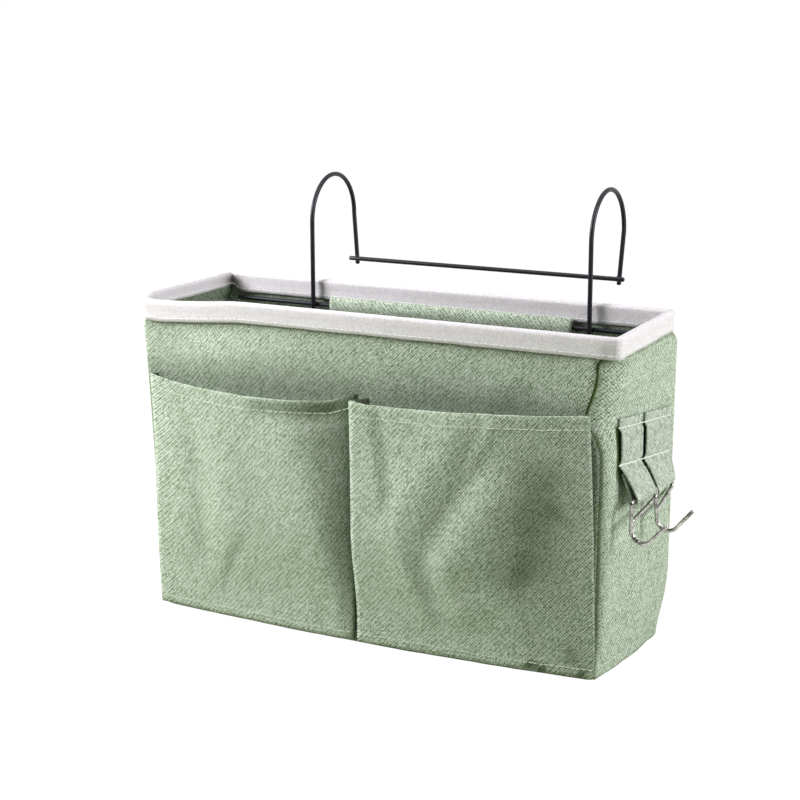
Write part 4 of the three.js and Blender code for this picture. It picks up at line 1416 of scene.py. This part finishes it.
class Nodes:
    """Short ways to add shader nodes to a new material or world."""

    def __init__(self, owner):
        owner.use_nodes = True
        self.tree = owner.node_tree
        self.tree.nodes.clear()

    def add(self, kind, **settings):
        node = self.tree.nodes.new(kind)
        for key, value in settings.items():
            setattr(node, key, value)
        return node

    def put(self, socket, value):
        if isinstance(value, bpy.types.NodeSocket):
            self.tree.links.new(value, socket)
        else:
            socket.default_value = value

    def fed(self, kind, inputs, **settings):
        """A node with values or sockets put into its inputs, by name or number."""
        node = self.add(kind, **settings)
        for key, value in inputs.items():
            self.put(node.inputs[key], value)
        return node

    def math(self, operation, a, b=0.0):
        return self.fed("ShaderNodeMath", {0: a, 1: b}, operation=operation).outputs[0]

    def times(self, a, b):
        return self.math("MULTIPLY", a, b)

    def plus(self, a, b):
        return self.math("ADD", a, b)

    def combine(self, x, y):
        return self.fed("ShaderNodeCombineXYZ", {0: x, 1: y}).outputs[0]

    def split(self, vector):
        return self.fed("ShaderNodeSeparateXYZ", {0: vector}).outputs

    def weave_place(self):
        return self.add("ShaderNodeUVMap", uv_map="weave").outputs["UV"]

    def object_place(self):
        return self.add("ShaderNodeTexCoord").outputs["Object"]

    def noise(self, vector, scale, detail=2.0, roughness=0.5):
        inputs = {"Vector": vector, "Scale": scale, "Detail": detail, "Roughness": roughness}
        return self.fed("ShaderNodeTexNoise", inputs).outputs["Fac"]

    def white(self, vector):
        node = self.fed("ShaderNodeTexWhiteNoise", {"Vector": vector}, noise_dimensions="2D")
        return node.outputs["Value"]

    def ramp(self, value, low, high):
        """A value from 0 to 1 between two limits."""
        inputs = {"Value": value, "From Min": low, "From Max": high}
        return self.fed("ShaderNodeMapRange", inputs).outputs["Result"]

    def mix(self, share, a, b):
        """A colour between two."""
        return self.fed("ShaderNodeMix", {"Factor": share, 6: a, 7: b}, data_type="RGBA").outputs[2]

    def mix_value(self, share, a, b):
        return self.fed("ShaderNodeMix", {"Factor": share, 2: a, 3: b}, data_type="FLOAT").outputs[0]

    def bump(self, height, distance, strength):
        """A normal from a height, with its distance in millimetres."""
        inputs = {"Height": height, "Distance": distance * MM, "Strength": strength}
        return self.fed("ShaderNodeBump", inputs).outputs["Normal"]

    def surface(self, colour, roughness, normal, metallic=0.0, specular=0.5):
        shader = self.fed("ShaderNodeBsdfPrincipled", {
            "Base Color": colour,
            "Roughness": roughness,
            "Metallic": metallic,
            "Specular IOR Level": specular,
            "Normal": normal,
        })
        self.fed("ShaderNodeOutputMaterial", {"Surface": shader.outputs[0]})

    def mix_shaders(self, share, a, b):
        return self.fed("ShaderNodeMixShader", {0: share, 1: a.outputs[0], 2: b.outputs[0]}).outputs[0]


def rgb(red, green, blue):
    """A colour as it looks on screen, 0 to 255, turned into light."""
    light = []
    for value in (red, green, blue):
        share = value / 255
        light.append(share / 12.92 if share <= 0.04045 else ((share + 0.055) / 1.055) ** 2.4)
    return (*light, 1.0)


# Yarns wander by up to this share of a float, with noise of this scale
YARN_BEND = 1.3
YARN_BEND_SCALE = 220
# Slubs: how each yarn differs from the next, and how slowly a yarn changes along itself
YARN_STEP = 7.3
SLUB_STRETCH = 0.08
WEFT_SLUB_SHARE = 0.8
# Each float has its own tone, mixed with noise of this scale
FLOAT_SHARE = 0.6
TONE_SCALE = 420
# Fine slanting lines: turns for each metre across and along
HATCH_TURNS = (305, -284)
HATCH_BEND = 0.8
# Share of painted shade in the crevices between floats; then lighter patches at random, their share and scale
CREVICE_SHARE = 0.3
PATCH_SHARE = 0.08
PATCH_SCALE = 14


def woven(name, pitch, light, pale, dark, shade, deep, depth, slub, hatch=0, roughness=0.85):
    """Plain-woven cloth of mixed yarns. pitch is the size of a float across and along, in millimetres.
    The warp runs from dark to light and the weft from shade to pale; painted shade darkens the crevices
    between floats towards shade, and the mesh's painted shade turns the colour deep."""
    material = bpy.data.materials.new(name)
    nodes = Nodes(material)
    uv = nodes.weave_place()
    x, y, _ = nodes.split(uv)
    bend = nodes.times(nodes.math("SUBTRACT", nodes.noise(uv, YARN_BEND_SCALE), 0.5), YARN_BEND)
    u = nodes.plus(nodes.times(x, 1 / (pitch[0] * MM)), bend)
    v = nodes.plus(nodes.times(y, 1 / (pitch[1] * MM)), bend)
    checks = nodes.times(
        nodes.math("SINE", nodes.times(u, math.pi)),
        nodes.math("SINE", nodes.times(v, math.pi)),
    )
    dome = nodes.math("POWER", nodes.math("ABSOLUTE", checks), 0.5)
    warp_up = nodes.ramp(checks, -0.12, 0.12)
    # Each thread has its own tone, and thickens and thins along its length
    warp, weft = nodes.math("FLOOR", u), nodes.math("FLOOR", v)
    warp_slub = nodes.noise(nodes.combine(nodes.times(warp, YARN_STEP), nodes.times(v, SLUB_STRETCH)), 1)
    weft_slub = nodes.noise(nodes.combine(nodes.times(u, SLUB_STRETCH), nodes.times(weft, YARN_STEP)), 1)
    spread = nodes.mix_value(FLOAT_SHARE, nodes.noise(uv, TONE_SCALE), nodes.white(nodes.combine(warp, weft)))
    if hatch:
        slant = nodes.plus(nodes.times(x, HATCH_TURNS[0]), nodes.times(y, HATCH_TURNS[1]))
        slant = nodes.plus(slant, nodes.times(bend, HATCH_BEND))
        wave = nodes.math("SINE", nodes.times(slant, 2 * math.pi))
        spread = nodes.mix_value(hatch, spread, nodes.plus(nodes.times(wave, 0.5), 0.5))
    warp_tone = nodes.mix_value(slub, spread, warp_slub)
    weft_tone = nodes.mix_value(slub * WEFT_SLUB_SHARE, spread, weft_slub)
    warp_colour = nodes.mix(nodes.ramp(warp_tone, 0.25, 0.65), dark, light)
    weft_colour = nodes.mix(nodes.ramp(weft_tone, 0.3, 0.75), shade, pale)
    colour = nodes.mix(warp_up, weft_colour, warp_colour)
    # Painted shade in the crevices between floats
    colour = nodes.mix(nodes.times(nodes.math("SUBTRACT", 1.0, dome), CREVICE_SHARE), colour, shade)
    patch = nodes.ramp(nodes.noise(uv, PATCH_SCALE, 3), 0.35, 0.75)
    colour = nodes.mix(nodes.times(patch, PATCH_SHARE), colour, light)
    # Painted shade that the mesh gives each point turns the colour towards deep
    painted_shade = nodes.add("ShaderNodeAttribute", attribute_name="painted_shade").outputs["Fac"]
    colour = nodes.mix(painted_shade, colour, deep)
    nodes.surface(colour, roughness, nodes.bump(dome, depth, 0.6), specular=0)
    return material


# Turns of a thread's plies for each metre, along it and round it, times two pi
PLY_TURNS = (9000, 6000)


def thread_material(name, dark, light):
    material = bpy.data.materials.new(name)
    nodes = Nodes(material)
    x, y, _ = nodes.split(nodes.weave_place())
    twist = nodes.plus(nodes.times(x, PLY_TURNS[0]), nodes.times(y, PLY_TURNS[1]))
    ply = nodes.math("ABSOLUTE", nodes.math("SINE", twist))
    nodes.surface(nodes.mix(ply, dark, light), 0.7, nodes.bump(ply, 0.12, 0.8), specular=0.3)
    return material


def black_wire_material():
    material = bpy.data.materials.new("black_wire")
    nodes = Nodes(material)
    place = nodes.object_place()
    grain = nodes.noise(place, 900, 3)
    wear = nodes.ramp(nodes.noise(place, 60, 4, 0.65), 0.62, 0.78)
    colour = nodes.mix(nodes.ramp(grain, 0.35, 0.7), rgb(16, 15, 22), rgb(32, 31, 42))
    colour = nodes.mix(nodes.times(wear, 0.4), colour, rgb(60, 58, 72))
    roughness = nodes.mix_value(grain, 0.3, 0.5)
    nodes.surface(colour, roughness, nodes.bump(grain, 0.08, 0.5), metallic=0.2, specular=0.3)
    return material


def metal_material(name, light, dark, low, high, scale):
    """Metal under a thin film that is rough from low to high, in patches of a scale."""
    material = bpy.data.materials.new(name)
    nodes = Nodes(material)
    place = nodes.object_place()
    film = nodes.noise(place, scale, 3, 0.6)
    colour = nodes.mix(nodes.ramp(film, 0.35, 0.7), light, dark)
    scratches = nodes.bump(nodes.noise(place, scale * 8), 0.03, 0.5)
    nodes.surface(colour, nodes.mix_value(film, low, high), scratches, metallic=1)
    return material


def board_material():
    material = bpy.data.materials.new("grey_board")
    nodes = Nodes(material)
    place = nodes.object_place()
    fibre = nodes.noise(place, 700, 4, 0.7)
    colour = nodes.mix(nodes.ramp(fibre, 0.3, 0.7), rgb(168, 163, 150), rgb(198, 194, 182))
    colour = nodes.mix(nodes.times(nodes.noise(place, 25), 0.3), colour, rgb(150, 146, 134))
    nodes.surface(colour, 0.85, nodes.bump(fibre, 0.2, 0.6), specular=0.2)
    return material


# Each cloth's deep colour is the colour its painted shade turns towards
CANVAS = woven(
    "sage_canvas", pitch=(0.95, 1.0), depth=0.3, slub=0.45, hatch=0.25,
    light=rgb(212, 219, 211), pale=rgb(182, 194, 178), dark=rgb(124, 142, 113), shade=rgb(64, 83, 50),
    deep=rgb(40, 54, 12),
)
STRAP_CANVAS = woven(
    "strap_canvas", pitch=(0.95, 1.3), depth=0.3, slub=0.5,
    light=rgb(203, 207, 202), pale=rgb(176, 184, 172), dark=rgb(136, 148, 130), shade=rgb(92, 105, 84),
    deep=rgb(40, 54, 12),
)
TAPE = woven(
    "white_tape", pitch=(0.7, 0.7), depth=0.08, slub=0.3, roughness=0.9,
    light=rgb(211, 207, 212), pale=rgb(207, 202, 208), dark=rgb(198, 193, 199), shade=rgb(178, 173, 180),
    deep=rgb(96, 90, 84),
)
THREAD = thread_material("white_thread", rgb(200, 206, 200), rgb(230, 234, 230))
PALE_GREEN_THREAD = thread_material("pale_green_thread", rgb(172, 183, 164), rgb(202, 211, 195))
BLACK = black_wire_material()
CHROME = metal_material("chrome_wire", rgb(208, 206, 200), rgb(96, 94, 88), 0.05, 0.16, 260)
STEEL = metal_material("rim_steel", rgb(186, 188, 190), rgb(150, 152, 154), 0.3, 0.45, 300)
BOARD = board_material()


# Building the pieces


def ride_bag(piece, *nodes, slot="canvas"):
    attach(piece, "bag")
    if nodes:
        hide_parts(*nodes)
    return piece


shell = ride_bag(
    bag_shell(CANVAS), "front_panel", "back_panel", "left_panel", "right_panel", "bottom_panel"
)
binding = ride_bag(rim_binding(TAPE), "rim_tape", slot="tape")
left_pocket = ride_bag(pocket("left_pocket_cloth", LEFT_POCKET, CANVAS), "left_pocket")
ride_bag(pocket("right_pocket_cloth", RIGHT_POCKET, CANVAS), "right_pocket")
ride_bag(bar_casing(CANVAS), "bar_casing")

for wire, node in bracket_wires(BLACK):
    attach(wire, "bracket")
    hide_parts(node)

for side_set in SIDE_SETS:
    end = side_set["end"]
    middle_y = STRAP_PAIR_Y + side_set["side"] * (STRAP_WIDTH + STRAP_GAP) / 2
    hem, bearing = hem_of(middle_y, side_set["out"], side_set["twist"])
    place, width = side_set["strap_y"], side_set["strap_width"]
    ride_bag(strap(end + "_strap_cloth", place, width, hem, bearing, STRAP_CANVAS), end + "_strap")
    path = small_hook_path(hem, bearing, side_set["lean"])
    hook = joined(end + "_small_hook_wire", [tube_part(path, SMALL_WIRE_RADIUS, SMALL_WIRE_SIDES)], CHROME)
    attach(hook, end + "_hook")
    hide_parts(end + "_small_hook")

bag_stitches = ride_bag(joined("bag_stitches", seams_on_bag(), PALE_GREEN_THREAD))
ride_bag(joined("strap_stitches", seams_on_straps(), THREAD))
binding_stitches = ride_bag(joined("binding_stitches", seams_on_binding(), THREAD))

ring = [(*place, RIM_WIRE_Z) for place, _ in rim_spots()]
ring_part = tube_part([*ring, ring[0]], RIM_WIRE_RADIUS, RIM_WIRE_SIDES, dome=False)
rim_ring = ride_bag(joined("rim_wire_ring", [ring_part], STEEL), "rim_wire", slot="rim_steel")

ride_bag(floor_board(BOARD), "base_board", slot="board")

for piece in (shell, binding, rim_ring, bag_stitches, binding_stitches):
    slump(piece)
slump(left_pocket, POCKET_EDGE_REACH)


# Stage

FLOOR_HALF_SIZE = 40
FLOOR_COLOUR = (0.48, 0.52, 0.4, 1)
# What the camera sees of the floor directly: its brightness, and its share beside the shadows
FLOOR_GLOW = 1.1
FLOOR_GLOW_SHARE = 0.92
WORLD_STRENGTH = 0.15
WORLD_TINT = (0.9, 1.0, 0.72, 1)
WHITE = (1, 1, 1, 1)
# Lamps: name, place, target, size and power
LAMPS = (
    ("key", (-0.66, -0.37, 0.57), (-0.03, -0.05, 0.12), 0.3, 12.6),
    ("side", (1.5, 0.12, 0.75), (0.1, 0, 0.12), 0.6, 30),
    ("top", (-0.1, -0.25, 1.3), (0, 0.1, 0.2), 0.6, 8),
)


def looked_at(nodes):
    """1 for light that reaches the camera straight, or by a reflection or through glass."""
    paths = nodes.add("ShaderNodeLightPath")
    seen = nodes.math("MAXIMUM", paths.outputs["Is Camera Ray"], paths.outputs["Is Glossy Ray"])
    return nodes.math("MAXIMUM", seen, paths.outputs["Is Transmission Ray"])


def add_floor():
    size = FLOOR_HALF_SIZE
    mesh = bpy.data.meshes.new("floor")
    corners = [(-size, -size, 0), (size, -size, 0), (size, size, 0), (-size, size, 0)]
    mesh.from_pydata(corners, [], [(0, 1, 2, 3)])
    floor = bpy.data.objects.new("floor", mesh)
    bpy.context.collection.objects.link(floor)
    material = bpy.data.materials.new("floor_white")
    nodes = Nodes(material)
    diffuse = nodes.fed("ShaderNodeBsdfDiffuse", {"Color": FLOOR_COLOUR})
    glow = nodes.fed("ShaderNodeEmission", {"Strength": FLOOR_GLOW})
    mixed = nodes.mix_shaders(nodes.times(looked_at(nodes), FLOOR_GLOW_SHARE), diffuse, glow)
    nodes.fed("ShaderNodeOutputMaterial", {"Surface": mixed})
    mesh.materials.append(material)


def add_world():
    world = bpy.data.worlds.new("studio")
    bpy.context.scene.world = world
    nodes = Nodes(world)
    white = nodes.fed("ShaderNodeBackground", {"Strength": 1, "Color": WHITE})
    soft = nodes.fed("ShaderNodeBackground", {"Strength": WORLD_STRENGTH, "Color": WORLD_TINT})
    # In metal, the side that faces the white backdrop shows white, and the open side a dim room
    way = nodes.split(nodes.add("ShaderNodeTexCoord").outputs["Generated"])
    backdrop = nodes.ramp(way[1], -0.45, 0.1)
    straight_on = nodes.add("ShaderNodeLightPath").outputs["Is Camera Ray"]
    shown = nodes.times(looked_at(nodes), nodes.math("MAXIMUM", straight_on, backdrop))
    nodes.fed("ShaderNodeOutputWorld", {"Surface": nodes.mix_shaders(shown, soft, white)})


def add_lamp(name, place, target, size, power):
    lamp = bpy.data.objects.new(name, bpy.data.lights.new(name, "AREA"))
    bpy.context.collection.objects.link(lamp)
    lamp.data.energy = power
    lamp.data.size = size
    lamp.location = Vector(place)
    lamp.rotation_euler = (Vector(target) - lamp.location).to_track_quat("-Z", "Y").to_euler()


add_floor()
add_world()
for lamp in LAMPS:
    add_lamp(*lamp)

bpy.context.scene.view_settings.view_transform = "Standard"
